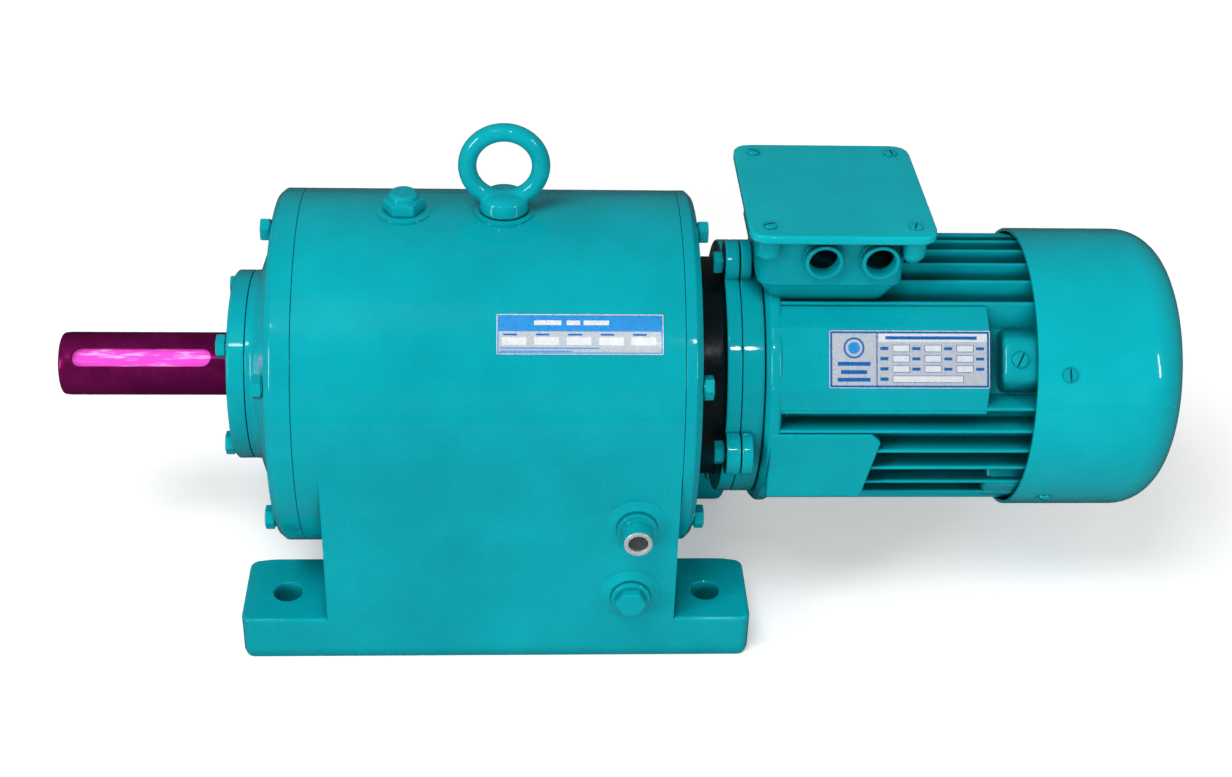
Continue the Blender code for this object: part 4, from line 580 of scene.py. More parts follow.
# %%
# Give each carried-over CAD node its material.
SLOT_FINISH = {
    "painted_casting": casting_enamel, "painted_motor": motor_enamel, "painted_sheet": sheet_enamel,
    "painted_fasteners": fastener_enamel, "shaft_lacquer": shaft_lacquer, "machined_steel": machined_steel,
    "bearing_steel": bearing_steel, "seal_rubber": seal_rubber, "laminated_steel": laminated_steel,
    "fan_plastic": fan_plastic, "board_plastic": board_plastic, "sight_glass_body": chrome,
    "sight_glass_window": dark_glass,
}


slots = {part["node"]: part["material_slot"] for part in frame["record"]["subparts"]}
for node_name, item in frame["nodes"].items():
    finish = SLOT_FINISH[slots[node_name]]
    if not item.data.materials:
        item.data.materials.append(finish)
    for slot in item.material_slots:
        slot.material = finish
print("nodes with a finish:", len(slots))

# %% [markdown]
# ## Gear housing
# The housing is one grey-iron casting: a drum, walls that drop from its widest line to the floor, and a rail
# under each side whose ends are the feet. It is made from one cross-section. The face in front of the walls
# is split into the drum's disc and the ends of the rails, and each of those is drawn out on its own, so the
# near wall stays one flat sheet without a seam. Where it runs into the drum, its corners stay crisp, because
# a rounding that ends there would draw a line across the drum.

# %%
# Casting body.
DRUM = 0.112
DRUM_FRONT, DRUM_REAR = -0.120, 0.111
WALL_FRONT = -0.106
BASE_END, BASE_HEIGHT = 0.160, 0.030
RAIL_INNER = 0.052
HALF_ROUND = ROUND // 2
FLAT = math.radians(0.5)
FOOT_ROUNDING, RIM_ROUNDING = 0.0065, 0.0022


def is_rail_end(face):
    """True for a flat end of a rail."""
    middle = face.calc_center_median()
    return middle.z < BASE_HEIGHT and abs(middle.y) > RAIL_INNER


def housing_body():
    """Drum, walls and rails as one closed shape with sharp edges."""
    bm = bmesh.new()

    def corner(y, z):
        return bm.verts.new((WALL_FRONT, y, z))

    ring = [corner(y, AXIS + z) for y, z in arc((0.0, 0.0), DRUM, 0.0, 360.0, ROUND)[:-1]]
    sides = (-DRUM, -RAIL_INNER, RAIL_INNER, DRUM)
    upper = [corner(y, BASE_HEIGHT) for y in sides]
    lower = [corner(y, 0.0) for y in sides]
    disc = bm.faces.new(ring)
    apron = bm.faces.new(ring[HALF_ROUND:] + ring[:1] + upper[::-1])
    ends = [bm.faces.new((upper[i], lower[i], lower[i + 1], upper[i + 1])) for i in range(3)]
    bmesh.ops.recalc_face_normals(bm, faces=bm.faces)
    back = drawn_out(bm, [disc, apron, *ends], (DRUM_REAR - WALL_FRONT, 0, 0))
    drawn_out(bm, [disc], (DRUM_FRONT - WALL_FRONT, 0, 0))
    for end in (ends[0], ends[2]):
        drawn_out(bm, [end], (-BASE_END - WALL_FRONT, 0, 0))
    for end in [face for face in back if is_rail_end(face)]:
        drawn_out(bm, [end], (BASE_END - DRUM_REAR, 0, 0))
    cleaned(bm)
    bmesh.ops.dissolve_limit(bm, angle_limit=FLAT, verts=bm.verts, edges=bm.edges)
    return bm


def edges_where(bm, test):
    """The edges whose two ends both pass a test."""
    return [edge for edge in bm.edges if all(test(vert.co) for vert in edge.verts)]


def near(value, *targets, within=1e-4):
    """True when a number equals one of the targets."""
    return any(abs(value - target) < within for target in targets)


def upright(edge):
    """True for an edge that stands straight up."""
    one, two = edge.verts
    return abs(one.co.x - two.co.x) < WELD and abs(one.co.y - two.co.y) < WELD


def on_foot_end(co):
    """True for a point on the end of a foot."""
    return near(abs(co.x), BASE_END) and co.z < BASE_HEIGHT + WELD


def on_foot_top(co):
    """True for a point on the feet's upper face, outside the drum or on the casting's long sides."""
    outside = co.x < WALL_FRONT - WELD or co.x > DRUM_REAR + WELD
    return near(co.z, BASE_HEIGHT) and (outside or near(abs(co.y), DRUM))


def round_casting(bm):
    """Rounds the feet's corners and their top rims."""
    corners = [edge for edge in edges_where(bm, on_foot_end)
               if upright(edge) or all(vert.co.z < WELD for vert in edge.verts)]
    soften(bm, corners, FOOT_ROUNDING, 4)
    rim = [edge for edge in edges_where(bm, on_foot_top)
           if edge.calc_face_angle(0.0) > CREASE and edge.is_convex]
    return soften(bm, rim, RIM_ROUNDING)


body = round_casting(housing_body())
print("casting body faces:", len(body.faces))

# %% [markdown]
# The inside is open as in the CAD part: two gear chambers with a web between them. The bores for the covers,
# the holes in the feet and the web's passages are bored with Booleans. The low bosses under the plugs flare
# into the wall, as a pattern maker would shape them.

# %%
# Chambers, holes and bosses.
COVER_BORE, BORE_START = 0.096, 0.010
CHAMBER, CHAMBER_WALL = 0.0985, 0.010
FLOOR_TOP = 0.014
WEB_HALF = 0.008
SHAFT_PASSAGE, LAYSHAFT_PASSAGE, LAYSHAFT_Z = 0.0313, 0.024, 0.078
FOOT_HOLE, COUNTERSINK = 0.009, 0.0012
FOOT_PLACES = [(x, y) for x in (-0.133, 0.133) for y in (-0.0845, 0.0845)]
PLUG_BOSS, PLUG_FLARE, BOSS_TOP = 0.0145, 0.0045, 0.0025
EYE_SPOT, BREATHER_SPOT, SPOT_FLARE, SPOT_TOP = 0.0165, 0.0150, 0.0020, 0.0008
SIGHT_PLACE = (0.085, 0.104)
DRAIN_PLACE = (0.083, 0.050)
EYE_X, BREATHER_X = 0.004, -0.057
HOLE_ROUND, PLUG_ROUND = 48, 64


def rod(radius, start, end, steps=HOLE_ROUND):
    """A plain round tool between two heights."""
    return spun([(start, 0.0), (start, radius), (end, radius), (end, 0.0)], steps)


def chamber(start, end):
    """The U-shaped room of one gear stage."""
    floor_z = -AXIS + FLOOR_TOP
    outline = [(floor_z, CHAMBER), *arc((0.0, 0.0), CHAMBER, 90.0, -90.0, HOLE_ROUND), (floor_z, -CHAMBER)]
    return put(pushed([(-z, y) for z, y in outline], start, end), along_shaft())


def bored_feet():
    """The four bolt holes, each with a small countersink."""
    wide = FOOT_HOLE + COUNTERSINK
    drill = [
        (-0.01, 0.0), (-0.01, FOOT_HOLE), (BASE_HEIGHT - 0.0006, FOOT_HOLE), (BASE_HEIGHT + 0.0006, wide),
        (BASE_HEIGHT + 0.01, wide), (BASE_HEIGHT + 0.01, 0.0),
    ]
    return [put(spun(drill, HOLE_ROUND), on_top(x, y, 0.0)) for x, y in FOOT_PLACES]


def flared_boss(radius, top, flare):
    """A low boss whose foot runs out into the wall around it."""
    foot = radius + flare
    section = [(-0.004, 0.0), (-0.004, foot), (0.0002, foot), (top * 0.45, radius + flare * 0.35),
               (top, radius - 0.001), (top, 0.0)]
    return turned(section, [0, 0, 0, 0.003, 0.0012, 0], PLUG_ROUND)


body = carved(
    body,
    put(rod(COVER_BORE, DRUM_FRONT - 0.001, -BORE_START, ROUND), along_shaft()),
    put(rod(COVER_BORE, BORE_START, DRUM_REAR + 0.001, ROUND), along_shaft()),
    chamber(WALL_FRONT + CHAMBER_WALL, -WEB_HALF), chamber(WEB_HALF, DRUM_REAR - CHAMBER_WALL),
    put(rod(SHAFT_PASSAGE, -0.02, 0.02), along_shaft()),
    put(rod(LAYSHAFT_PASSAGE, -0.02, 0.02), along_shaft(z=LAYSHAFT_Z)),
    *bored_feet(),
)
bosses = [
    put(flared_boss(PLUG_BOSS, BOSS_TOP, PLUG_FLARE), out_front(*SIGHT_PLACE, y=-DRUM)),
    put(flared_boss(PLUG_BOSS, BOSS_TOP, PLUG_FLARE), out_front(*DRAIN_PLACE, y=-DRUM)),
    put(flared_boss(EYE_SPOT, SPOT_TOP, SPOT_FLARE), on_top(EYE_X, z=AXIS + DRUM)),
    put(flared_boss(BREATHER_SPOT, SPOT_TOP, SPOT_FLARE), on_top(BREATHER_X, z=AXIS + DRUM)),
]
piece("housing_casting", gathered(body, *bosses), casting_enamel, nodes=["gear_housing"])

# %% [markdown]
# ## Covers and bearing cap
# The covers are turned castings. The front one swells from its flange to the bearing boss in soft steps,
# and the cap in front of it carries the oil seal. The dark lines between them are the real gaps. Each half
# section is a closed outline with one fillet for each corner, so flat seats stay sharp.

# %%
# Front cover, rear cover and bearing cap.
FLANGE_BACK, FLANGE_FACE = -0.1203, -0.1363
SPIGOT, FRONT_SPIGOT_END = 0.0957, -0.112
BOSS_FACE, BOSS_RADIUS = -0.1535, 0.060
BEARING_SEAT, BEARING_SHOULDER, SHOULDER_X = 0.0428, 0.034, -0.1312
CAP_BACK, CAP_FACE = -0.1538, -0.1648
CAP_EDGE, CAP_BORE = 0.0015, 0.021
SEAL, SEAL_END = 0.0313, CAP_FACE + 0.0083
REAR_START, REAR_FACE, REAR_SPIGOT_END = 0.1113, 0.1218, 0.103
REAR_EDGE = 0.004
INPUT_SEAL, INPUT_SEAL_X, INPUT_BORE = 0.0213, 0.1142, 0.0173


def turned_cover(name, section, radii, node):
    """A turned casting of the gearbox, from a closed half section."""
    cover = turned(section, radii, FINE_ROUND, closed=True)
    return piece(name, put(cover, along_shaft()), casting_enamel, nodes=[node])


turned_cover("front_cover_casting", [
    (BOSS_FACE, BEARING_SEAT), (BOSS_FACE, BOSS_RADIUS), (-0.1487, BOSS_RADIUS), (-0.1440, 0.073),
    (FLANGE_FACE, 0.086), (FLANGE_FACE, DRUM - 0.0035), (FLANGE_FACE + 0.0042, DRUM), (FLANGE_BACK, DRUM),
    (FLANGE_BACK, SPIGOT), (FRONT_SPIGOT_END, SPIGOT), (FRONT_SPIGOT_END, BEARING_SHOULDER),
    (SHOULDER_X, BEARING_SHOULDER), (SHOULDER_X, BEARING_SEAT),
], [0, 0.0008, 0.004, 0.010, 0.006, 0.0025, 0.0025, 0.0006, 0, 0, 0, 0, 0], "front_cover")
turned_cover("bearing_cap_casting", [
    (CAP_FACE, SEAL), (CAP_FACE, BOSS_RADIUS - CAP_EDGE), (CAP_FACE + CAP_EDGE, BOSS_RADIUS),
    (CAP_BACK, BOSS_RADIUS), (CAP_BACK, CAP_BORE), (SEAL_END, CAP_BORE), (SEAL_END, SEAL),
], [0.0008, 0.001, 0.001, 0.0006, 0, 0, 0], "output_bearing_cap")
turned_cover("rear_cover_casting", [
    (REAR_START, SPIGOT), (REAR_START, DRUM), (REAR_FACE - REAR_EDGE, DRUM), (REAR_FACE, DRUM - REAR_EDGE),
    (REAR_FACE, INPUT_SEAL), (INPUT_SEAL_X, INPUT_SEAL), (INPUT_SEAL_X, INPUT_BORE),
    (REAR_SPIGOT_END, INPUT_BORE), (REAR_SPIGOT_END, SPIGOT),
], [0, 0.0006, 0.002, 0.002, 0, 0, 0, 0, 0], "rear_cover")

# %% [markdown]
# ## Hexagon bolts
# Each bolt keeps its CAD place, and is rebuilt with a chamfered hexagon on a thin washer face. The paint
# was sprayed over the assembled machine, so bolts and castings share one colour.

# %%
# One bolt shape for all four bolt circles.
BOLT_FLATS, BOLT_HEIGHT = 0.013, 0.0065
BOLT_ROUND = 24
SEAT_GAP = 0.0003
COVER_CIRCLE, CAP_CIRCLE, EAR_CIRCLE = 0.1025, 0.051, 0.083
COVER_FIRST, CAP_FIRST, EAR_FIRST = 94.5, 45.0, 7.0
EAR_FACE = 0.1388
WRENCH_STEP = 17.0


def hexagon(flats):
    """A hexagon's corners, for its width across the flats."""
    return arc((0.0, 0.0), flats / math.sqrt(3.0), 0.0, 360.0, 6)[:-1]


def bolt_head(flats, height, shank=0.004, length=0.008):
    """A head that stands on z = 0, with a washer face under it and a stub of its shank."""
    head = pushed(hexagon(flats), 0.0008, height - 0.0001, edge=0.0009)
    washer = rod(flats * 0.47, 0.0, 0.0009, BOLT_ROUND)
    low = height - 0.0012
    crown_section = [(low, 0.0), (low, flats * 0.43), (height, flats * 0.40), (height, 0.0)]
    crown = turned(crown_section, 0.0004, BOLT_ROUND)
    stub = rod(shank, -length, 0.001, 16)
    return gathered(head, washer, crown, stub)


def bolt_circle(name, count, radius, first, seat, facing, node):
    """Bolts on a circle. Facing is -1 where the heads look at the output shaft."""
    for i in range(count):
        y, z = round_axis(radius, first + 360.0 * i / count)
        stand = on_top(seat, y, z) @ turn_about("Y", 90.0 * facing) @ turn_about("Z", WRENCH_STEP * i)
        bm = put(bolt_head(BOLT_FLATS, BOLT_HEIGHT), stand)
        piece(f"{name}_{i + 1}", bm, fastener_enamel, nodes=[f"{node}_{i + 1}"])


bolt_circle("front_bolt", 6, COVER_CIRCLE, COVER_FIRST, FLANGE_FACE - SEAT_GAP, -1, "front_cover_bolt")
bolt_circle("rear_bolt", 6, COVER_CIRCLE, COVER_FIRST, REAR_FACE + SEAT_GAP, 1, "rear_cover_bolt")
bolt_circle("cap_bolt", 4, CAP_CIRCLE, CAP_FIRST, CAP_FACE - SEAT_GAP, -1, "bearing_cap_bolt")
bolt_circle("flange_bolt", 4, EAR_CIRCLE, EAR_FIRST + 90.0, EAR_FACE, -1, "motor_flange_bolt")

# %% [markdown]
# ## Output shaft
# A stepped shaft of ground steel. Its free end has a round edge and a keyway with round ends. A Boolean cuts
# the keyway as a milling cutter would, and the faces of its floor get the pink finish.

# %%
# Stepped shaft with its keyway.
SHAFT = 0.020
SHAFT_END = -0.2748
KEYWAY_MIDDLE = -0.2233
KEYWAY_HALF, KEYWAY_REACH = 0.006, 0.0375
KEYWAY_FLOOR = 0.015
KEYWAY_TURN = 45.0
JOURNAL, JOURNAL_START = 0.0225, -0.1515
SHAFT_COLLAR, WHEEL_SEAT, WHEEL_SEAT_START, WHEEL_SEAT_END = 0.027, 0.024, -0.0663, -0.0083
REAR_JOURNAL, SHAFT_REAR = 0.015, 0.009
KEY_HALF, KEY_LOW, KEY_HIGH, KEY_END = 0.0073, 0.0185, 0.032, -0.0337

shaft_section = [
    (SHAFT_END, 0.0), (SHAFT_END, SHAFT - 0.0005), (SHAFT_END + 0.0045, SHAFT), (JOURNAL_START, SHAFT),
    (JOURNAL_START, JOURNAL), (SHOULDER_X, JOURNAL), (SHOULDER_X, SHAFT_COLLAR),
    (WHEEL_SEAT_START, SHAFT_COLLAR), (WHEEL_SEAT_START, WHEEL_SEAT), (WHEEL_SEAT_END, WHEEL_SEAT),
    (WHEEL_SEAT_END, REAR_JOURNAL), (SHAFT_REAR, REAR_JOURNAL), (SHAFT_REAR, 0.0),
]
shaft_radii = [0, 0.0042, 0.006, 0, 0.0005, 0, 0.0005, 0, 0.0005, 0, 0.0005, 0.0005, 0]
shaft = put(turned(shaft_section, shaft_radii, FINE_ROUND), along_shaft())
slot_outline = arc((KEYWAY_REACH, 0.0), KEYWAY_HALF, -90.0, 90.0, 16)
slot_outline += arc((-KEYWAY_REACH, 0.0), KEYWAY_HALF, 90.0, 270.0, 16)
keyway_cutter = put(
    pushed(slot_outline, KEYWAY_FLOOR, SHAFT + 0.005),
    Matrix.Translation((KEYWAY_MIDDLE, 0.0, AXIS)) @ turn_about("X", KEYWAY_TURN),
)
key_seat = slab((WHEEL_SEAT_START, -KEY_HALF, AXIS + KEY_LOW), (KEY_END, KEY_HALF, AXIS + KEY_HIGH))
shaft_piece = piece("output_shaft_lacquered", carved(shaft, keyway_cutter, key_seat), shaft_lacquer,
                    body="output", nodes=["output_shaft"])


def is_keyway_floor(face):
    """True for a face on the flat floor of the keyway."""
    turn_angle = math.radians(KEYWAY_TURN)
    outward = Vector((0.0, -math.sin(turn_angle), math.cos(turn_angle)))
    place = face.center - Vector((KEYWAY_MIDDLE, 0.0, AXIS))
    inside = near(place.x, 0.0, within=KEYWAY_REACH + KEYWAY_HALF + 1e-4)
    return inside and face.normal.dot(outward) > 0.99 and near(place.dot(outward), KEYWAY_FLOOR)


second_finish(shaft_piece, keyway_pink, is_keyway_floor)

# %% [markdown]
# ## Motor adapter and front endshield
# A short neck carries the motor's flange, and it is coloured a near-black teal. Both flanges have four ears
# for the bolts.
# Each ear is a round plate that reaches into the flange's rim.

# %%
# Neck, flanges and ears.
EAR, EAR_EDGE = 0.014, 0.0012
FLANGE_RIM = 0.081
NECK_START, NECK_RADIUS, NECK_BORE = 0.1221, 0.070, 0.058
ADAPTER_FLANGE, ADAPTER_END = 0.1391, 0.1481
SHIELD_START, SHIELD_END, SHIELD_BORE = 0.1484, 0.1621, 0.0135
SHIELD_SPIGOT, SHIELD_SPIGOT_END = 0.0617, 0.1661
HUB_OUTER, HUB_BORE, HUB_END = 0.0303, 0.0263, 0.1777


def eared_flange(section, radii, start, end):
    """A turned flange with four ears."""
    flange = put(turned(section, radii, closed=True), along_shaft())
    ears = []
    for i in range(4):
        y, z = round_axis(EAR_CIRCLE, EAR_FIRST + 90.0 * i)
        ear = turned([(start, 0.0), (start, EAR), (end, EAR), (end, 0.0)], EAR_EDGE, HOLE_ROUND)
        ears.append(put(ear, along_shaft(y=y, z=z)))
    return gathered(flange, *ears)


neck = [
    (NECK_START, NECK_BORE), (NECK_START, NECK_RADIUS), (ADAPTER_FLANGE, NECK_RADIUS),
    (ADAPTER_FLANGE, FLANGE_RIM), (ADAPTER_END, FLANGE_RIM), (ADAPTER_END, NECK_BORE),
]
adapter = eared_flange(neck, [0, 0.0006, 0.003, 0.0015, 0.001, 0], 0.1392, 0.1479)
adapter_piece = piece("motor_adapter_casting", adapter, motor_enamel,
                      nodes=["motor_adapter"])
# Faces up to the flange's front face take the near-black teal.
second_finish(adapter_piece, neck_black, lambda face: face.center.x < ADAPTER_FLANGE + 0.0002)

shield = [
    (SHIELD_START, SHIELD_BORE), (SHIELD_START, FLANGE_RIM), (SHIELD_END, FLANGE_RIM),
    (SHIELD_END, SHIELD_SPIGOT), (SHIELD_SPIGOT_END, SHIELD_SPIGOT), (SHIELD_SPIGOT_END, HUB_OUTER),
    (HUB_END, HUB_OUTER), (HUB_END, HUB_BORE), (SHIELD_END, HUB_BORE), (SHIELD_END, SHIELD_BORE),
]
endshield = eared_flange(shield, [0, 0.001, 0.001, 0, 0, 0, 0, 0, 0, 0], 0.1486, 0.1556)
piece("front_endshield_casting", endshield, motor_enamel, nodes=["front_endshield"])

# %% [markdown]
# ## Finned motor frame
# The frame is die-cast: a tube with plate fins that stand level on its sides and upright on top and below.
# Real fins are thicker at the root and round at the tip. Each is an outline across the frame, pushed along
# it, and the pads for the nameplate, the cowl's screws and the feet are joined on top.

# %%
# Tube, fins, pads and lugs.
FRAME_START, FRAME_END = 0.1624, 0.3351
CORE, COLLAR = 0.072, 0.087
BOX_MIDDLE = 0.200
FIN_REACH, FIN_TIP, FIN_ROOT = 0.0865, 0.0013, 0.0021
SIDE_PITCH, TOP_PITCH = 0.0146, 0.0143
FRAME_BORE, COLLAR_EDGE = 0.062, 0.003
PAD_ANGLE = 35.5
PAD_ANGLES = (PAD_ANGLE, 180.0 - PAD_ANGLE, 180.0 + PAD_ANGLE, 360.0 - PAD_ANGLE)
PAD_FACE, PAD_HALF, PAD_FLANK, PAD_FLANK_FACE = 0.0855, 0.019, 0.033, 0.079
PAD_END, PAD_ROOT = 0.2984, 0.066
LUG_START, LUG_FACE, LUG_HALF, LUG_FOOT, LUG_ROUNDING = 0.3066, 0.0852, 0.0125, 0.021, 0.009
ACROSS = Matrix(((0, 0, 1, 0), (1, 0, 0, 0), (0, 1, 0, 0), (0, 0, 0, 1)))
RIMWARD = Matrix(((0, 0, 1, 0), (-1, 0, 0, 0), (0, 1, 0, 0), (0, 0, 0, 1)))

tube_section = [
    (FRAME_START, FRAME_BORE), (FRAME_START, COLLAR - COLLAR_EDGE), (FRAME_START + COLLAR_EDGE, COLLAR),
    (FRAME_START + 0.009, COLLAR), (FRAME_START + 0.0135, CORE), (FRAME_END, CORE), (FRAME_END, FRAME_BORE),
]
tube = put(turned(tube_section, [0, 0.003, 0.002, 0.003, 0.004, 0.0005, 0], closed=True), along_shaft())


def fin(height):
    """A fin's outline, level, from the tube's inside to its round tip, for its height over the shaft."""
    reach = math.sqrt(FIN_REACH**2 - (abs(height) + FIN_TIP)**2)
    tip = arc((reach - FIN_TIP, 0.0), FIN_TIP, -90.0, 90.0, 6)
    root = math.sqrt(max(CORE**2 - height**2, 0.0)) - 0.004
    return [(root, -FIN_ROOT), *tip, (root, FIN_ROOT)]


def fins():
    """All fins: six pairs on the sides, seven pairs above and below."""
    level_rows = [SIDE_PITCH * (row + 0.5) for row in range(-4, 2)]
    upright_rows = [TOP_PITCH * row for row in range(-3, 4)]
    made = [stand_across(fin(height), on_top(0.0, z=AXIS + height) @ turn_about("X", side))
            for height in level_rows for side in (0.0, 180.0)]
    made += [stand_across(fin(across), on_top(0.0, across) @ turn_about("X", side))
             for across in upright_rows for side in (90.0, -90.0)]
    return made


def stand_across(outline, stand):
    """Pushes an outline given in (outward, up) along the frame, then places it."""
    return put(pushed(outline, FRAME_START + 0.006, FRAME_END - 0.0004), stand @ ACROSS)


def plate_on(outline, start, end, angle, edge=0.0015):
    """A pad: an outline in (along the rim, outward) pushed along the shaft and turned round the frame."""
    bm = pushed(outline, start, end, edge=edge, both=True)
    return put(bm, on_top(0.0) @ turn_about("X", angle - 90.0) @ RIMWARD)


def foot_pad(far_side):
    """A flat pad for a bolted-on foot, on the near side or the far side of the frame."""
    outline = [(0.1664, -0.041), (0.2254, -0.041), (0.2344, 0.0), (0.2284, 0.006), (0.1664, 0.006)]
    outline = rounded(outline, [0.002, 0.003, 0.003, 0.003, 0.002], closed=True)
    block = put(pushed(outline, 0.064, 0.0875, edge=0.0015), turn_about("X", 90.0))
    if far_side:
        put(block, Matrix.Scale(-1.0, 4, (0.0, 1.0, 0.0)))
    return put(block, on_top(0.0))


def box_seat():
    """The seat of the terminal box, tapered towards the frame."""
    seat = pushed(rectangle(0.086, 0.094, 0.009), -0.0020, 0.0)
    foot = [vert for vert in seat.verts if vert.co.z < -WELD]
    bmesh.ops.scale(seat, vec=(0.78, 0.80, 1.0), verts=foot)
    bmesh.ops.translate(seat, vec=(0.0, 0.0, -0.016), verts=foot)
    return put(seat, on_top(BOX_MIDDLE, z=AXIS + 0.088))


pad_outline = rounded([
    (-PAD_FLANK, PAD_ROOT), (PAD_FLANK, PAD_ROOT), (PAD_FLANK, PAD_FLANK_FACE), (PAD_HALF, PAD_FACE),
    (-PAD_HALF, PAD_FACE), (-PAD_FLANK, PAD_FLANK_FACE),
], [0, 0, 0.002, 0.004, 0.004, 0.002], closed=True)
lug_outline = rounded([
    (-LUG_FOOT, PAD_ROOT), (LUG_FOOT, PAD_ROOT), (LUG_HALF, LUG_FACE), (-LUG_HALF, LUG_FACE),
], [0, 0, LUG_ROUNDING, LUG_ROUNDING], closed=True)
pads = [plate_on(pad_outline, FRAME_START + 0.003, PAD_END, angle) for angle in PAD_ANGLES[:2]]
lugs = [plate_on(lug_outline, LUG_START, FRAME_END - 0.0005, angle, edge=0.004) for angle in PAD_ANGLES]
motor_frame = gathered(tube, *fins(), *pads, *lugs, foot_pad(False), foot_pad(True), box_seat())
piece("motor_frame_casting", motor_frame, motor_enamel, nodes=["motor_frame"])

# %% [markdown]
# ## Fan cowl
# The cowl is one sheet of steel, deep drawn to a wide round shoulder. The rear face has two rings of slots
# that the fan draws its air through. Four slotted screws hold it to the frame's lugs.

# %%
# Drawn sheet with slots.
COWL, SHEET, SHOULDER = 0.0895, 0.002, 0.028
COWL_START, COWL_END = 0.3271, 0.4241


def cowl_face(radius, end, shoulder, steps=12):
    """One face of the sheet, from the middle of the rear face to the rim."""
    bend = arc((end - shoulder, radius - shoulder), shoulder, 0.0, 90.0, steps)
    return [(end, 0.0), *bend, (COWL_START, radius)]


def air_slot(inner, outer, angle):
    """A slot with round ends, cut through the rear face."""
    half = 0.0025
    outline = arc((outer - half, 0.0), half, -90.0, 90.0, 6) + arc((inner + half, 0.0), half, 90.0, 270.0, 6)
    bm = pushed(outline, COWL_END - 0.006, COWL_END + 0.002)
    return put(put(bm, turn_about("Z", angle)), along_shaft())


outer_face = cowl_face(COWL, COWL_END, SHOULDER)
inner_face = cowl_face(COWL - SHEET, COWL_END - SHEET, SHOULDER - SHEET)
cowl_sheet = put(spun(outer_face + inner_face[::-1], FINE_ROUND), along_shaft())
air_slots = [air_slot(inner, outer, 360.0 / count * i)
             for inner, outer, count in ((0.022, 0.034, 8), (0.039, 0.053, 12)) for i in range(count)]
cowl = carved(cowl_sheet, gathered(*air_slots))
# The lighter sheet enamel is painted light that brightens the cowl.
piece("fan_cowl_sheet", cowl, sheet_enamel, nodes=["fan_cowl"])

# %% [markdown]
# ## Slotted screws
# Cheese-head screws hold the lid and the cowl. Each is a low turned head with its slot cut across. The slots
# stand at different angles, because tightened screws do.

# %%
# Screws of the lid and of the cowl.
def slotted_screw(radius, height, turn_angle, slot_width=0.0011):
    """A round head on z = 0, with its slot turned by an angle."""
    section = [(-0.001, 0.0), (-0.001, radius), (height * 0.7, radius), (height, radius * 0.7),
               (height + radius * 0.04, 0.0)]
    head = turned(section, [0, 0.0002, 0.0008, 0.001, 0], 32)
    slot = slab((-radius * 1.2, -slot_width / 2, height * 0.45), (radius * 1.2, slot_width / 2, height * 2))
    return put(carved(head, slot), turn_about("Z", turn_angle))


LID_SCREWS = [
    (0.1605, -0.0475, 20.0), (0.2475, -0.0475, 70.0), (0.1605, 0.0475, -35.0), (0.2475, 0.0475, 100.0),
]
LID_TOP = 0.2766
COWL_SCREW_X, COWL_SCREW_ANGLES = 0.3465, (29.5, 150.5, 215.5, 324.5)
FRAME_SCREW_X, FRAME_SCREW_SEAT = 0.3170, 0.0850
for i, (x, y, angle) in enumerate(LID_SCREWS):
    screw = put(slotted_screw(0.0042, 0.0018, angle), on_top(x, y, LID_TOP))
    piece(f"lid_screw_{i + 1}", screw, fastener_enamel)


def on_round(x, angle, radius):
    """The matrix that stands a shape on a round face, at an angle from the far side."""
    return on_top(x) @ turn_about("X", angle - 90.0) @ on_top(0.0, z=radius)


for i, angle in enumerate(COWL_SCREW_ANGLES):
    screw = put(slotted_screw(0.0046, 0.0020, 40.0 + 55.0 * i), on_round(COWL_SCREW_X, angle, COWL))
    piece(f"cowl_screw_{i + 1}", screw, fastener_enamel)
screw = put(slotted_screw(0.0050, 0.0022, 65.0), on_round(FRAME_SCREW_X, PAD_ANGLES[1], FRAME_SCREW_SEAT))
piece("frame_screw", screw, fastener_enamel)

# %% [markdown]
# ## Terminal box
# A cast box with a wider lid on a rubber gasket. The two cable entries look at the viewer: short round
# bosses with a threaded hole. Posts under the lid's corners take its screws. Posts and bosses are joined to
# the box by a Boolean, then one more hollows it and cuts the threads.

# %%
# Box, gasket and lid.
BOX_LENGTH, BOX_WIDTH, BOX_CORNER, BOX_WALL = 0.088, 0.096, 0.009, 0.004
BOX_FLOOR, BOX_TOP = 0.2363, 0.2705
LID_MIDDLE, LID_LENGTH, LID_WIDTH = 0.204, 0.112, 0.120
LID_BOTTOM = 0.2708
ENTRY_PLACES, ENTRY_Z = (0.194, 0.228), 0.2553
GASKET_INSET = 0.001


def entry_boss(x):
    """A cable entry's boss with a flared foot."""
    section = [
        (0.044, 0.0), (0.044, 0.0128), (0.0485, 0.0128), (0.0500, 0.0115), (0.054, 0.0115), (0.054, 0.0),
    ]
    return put(turned(section, [0, 0, 0.001, 0.001, 0.0012, 0], PLUG_ROUND), out_front(x, ENTRY_Z))


def lid_post(x, y):
    """The post under a corner of the lid, with a rounded shoulder."""
    section = [(BOX_TOP - 0.016, 0.0), (BOX_TOP - 0.016, 0.0045), (BOX_TOP - 0.012, 0.0075),
               (BOX_TOP, 0.0075), (BOX_TOP, 0.0)]
    return put(turned(section, [0, 0.001, 0.002, 0.0003, 0], 32), on_top(x, y, 0.0))


def boxed(length, width, corner, low, high, **edges):
    """A rounded block over the middle of the terminal box."""
    return put(pushed(rectangle(length, width, corner), low, high, **edges), on_top(BOX_MIDDLE, z=0.0))


def inside_box(low, high):
    """The room inside the box's walls."""
    return boxed(BOX_LENGTH - 2 * BOX_WALL, BOX_WIDTH - 2 * BOX_WALL, BOX_WALL, low, high)


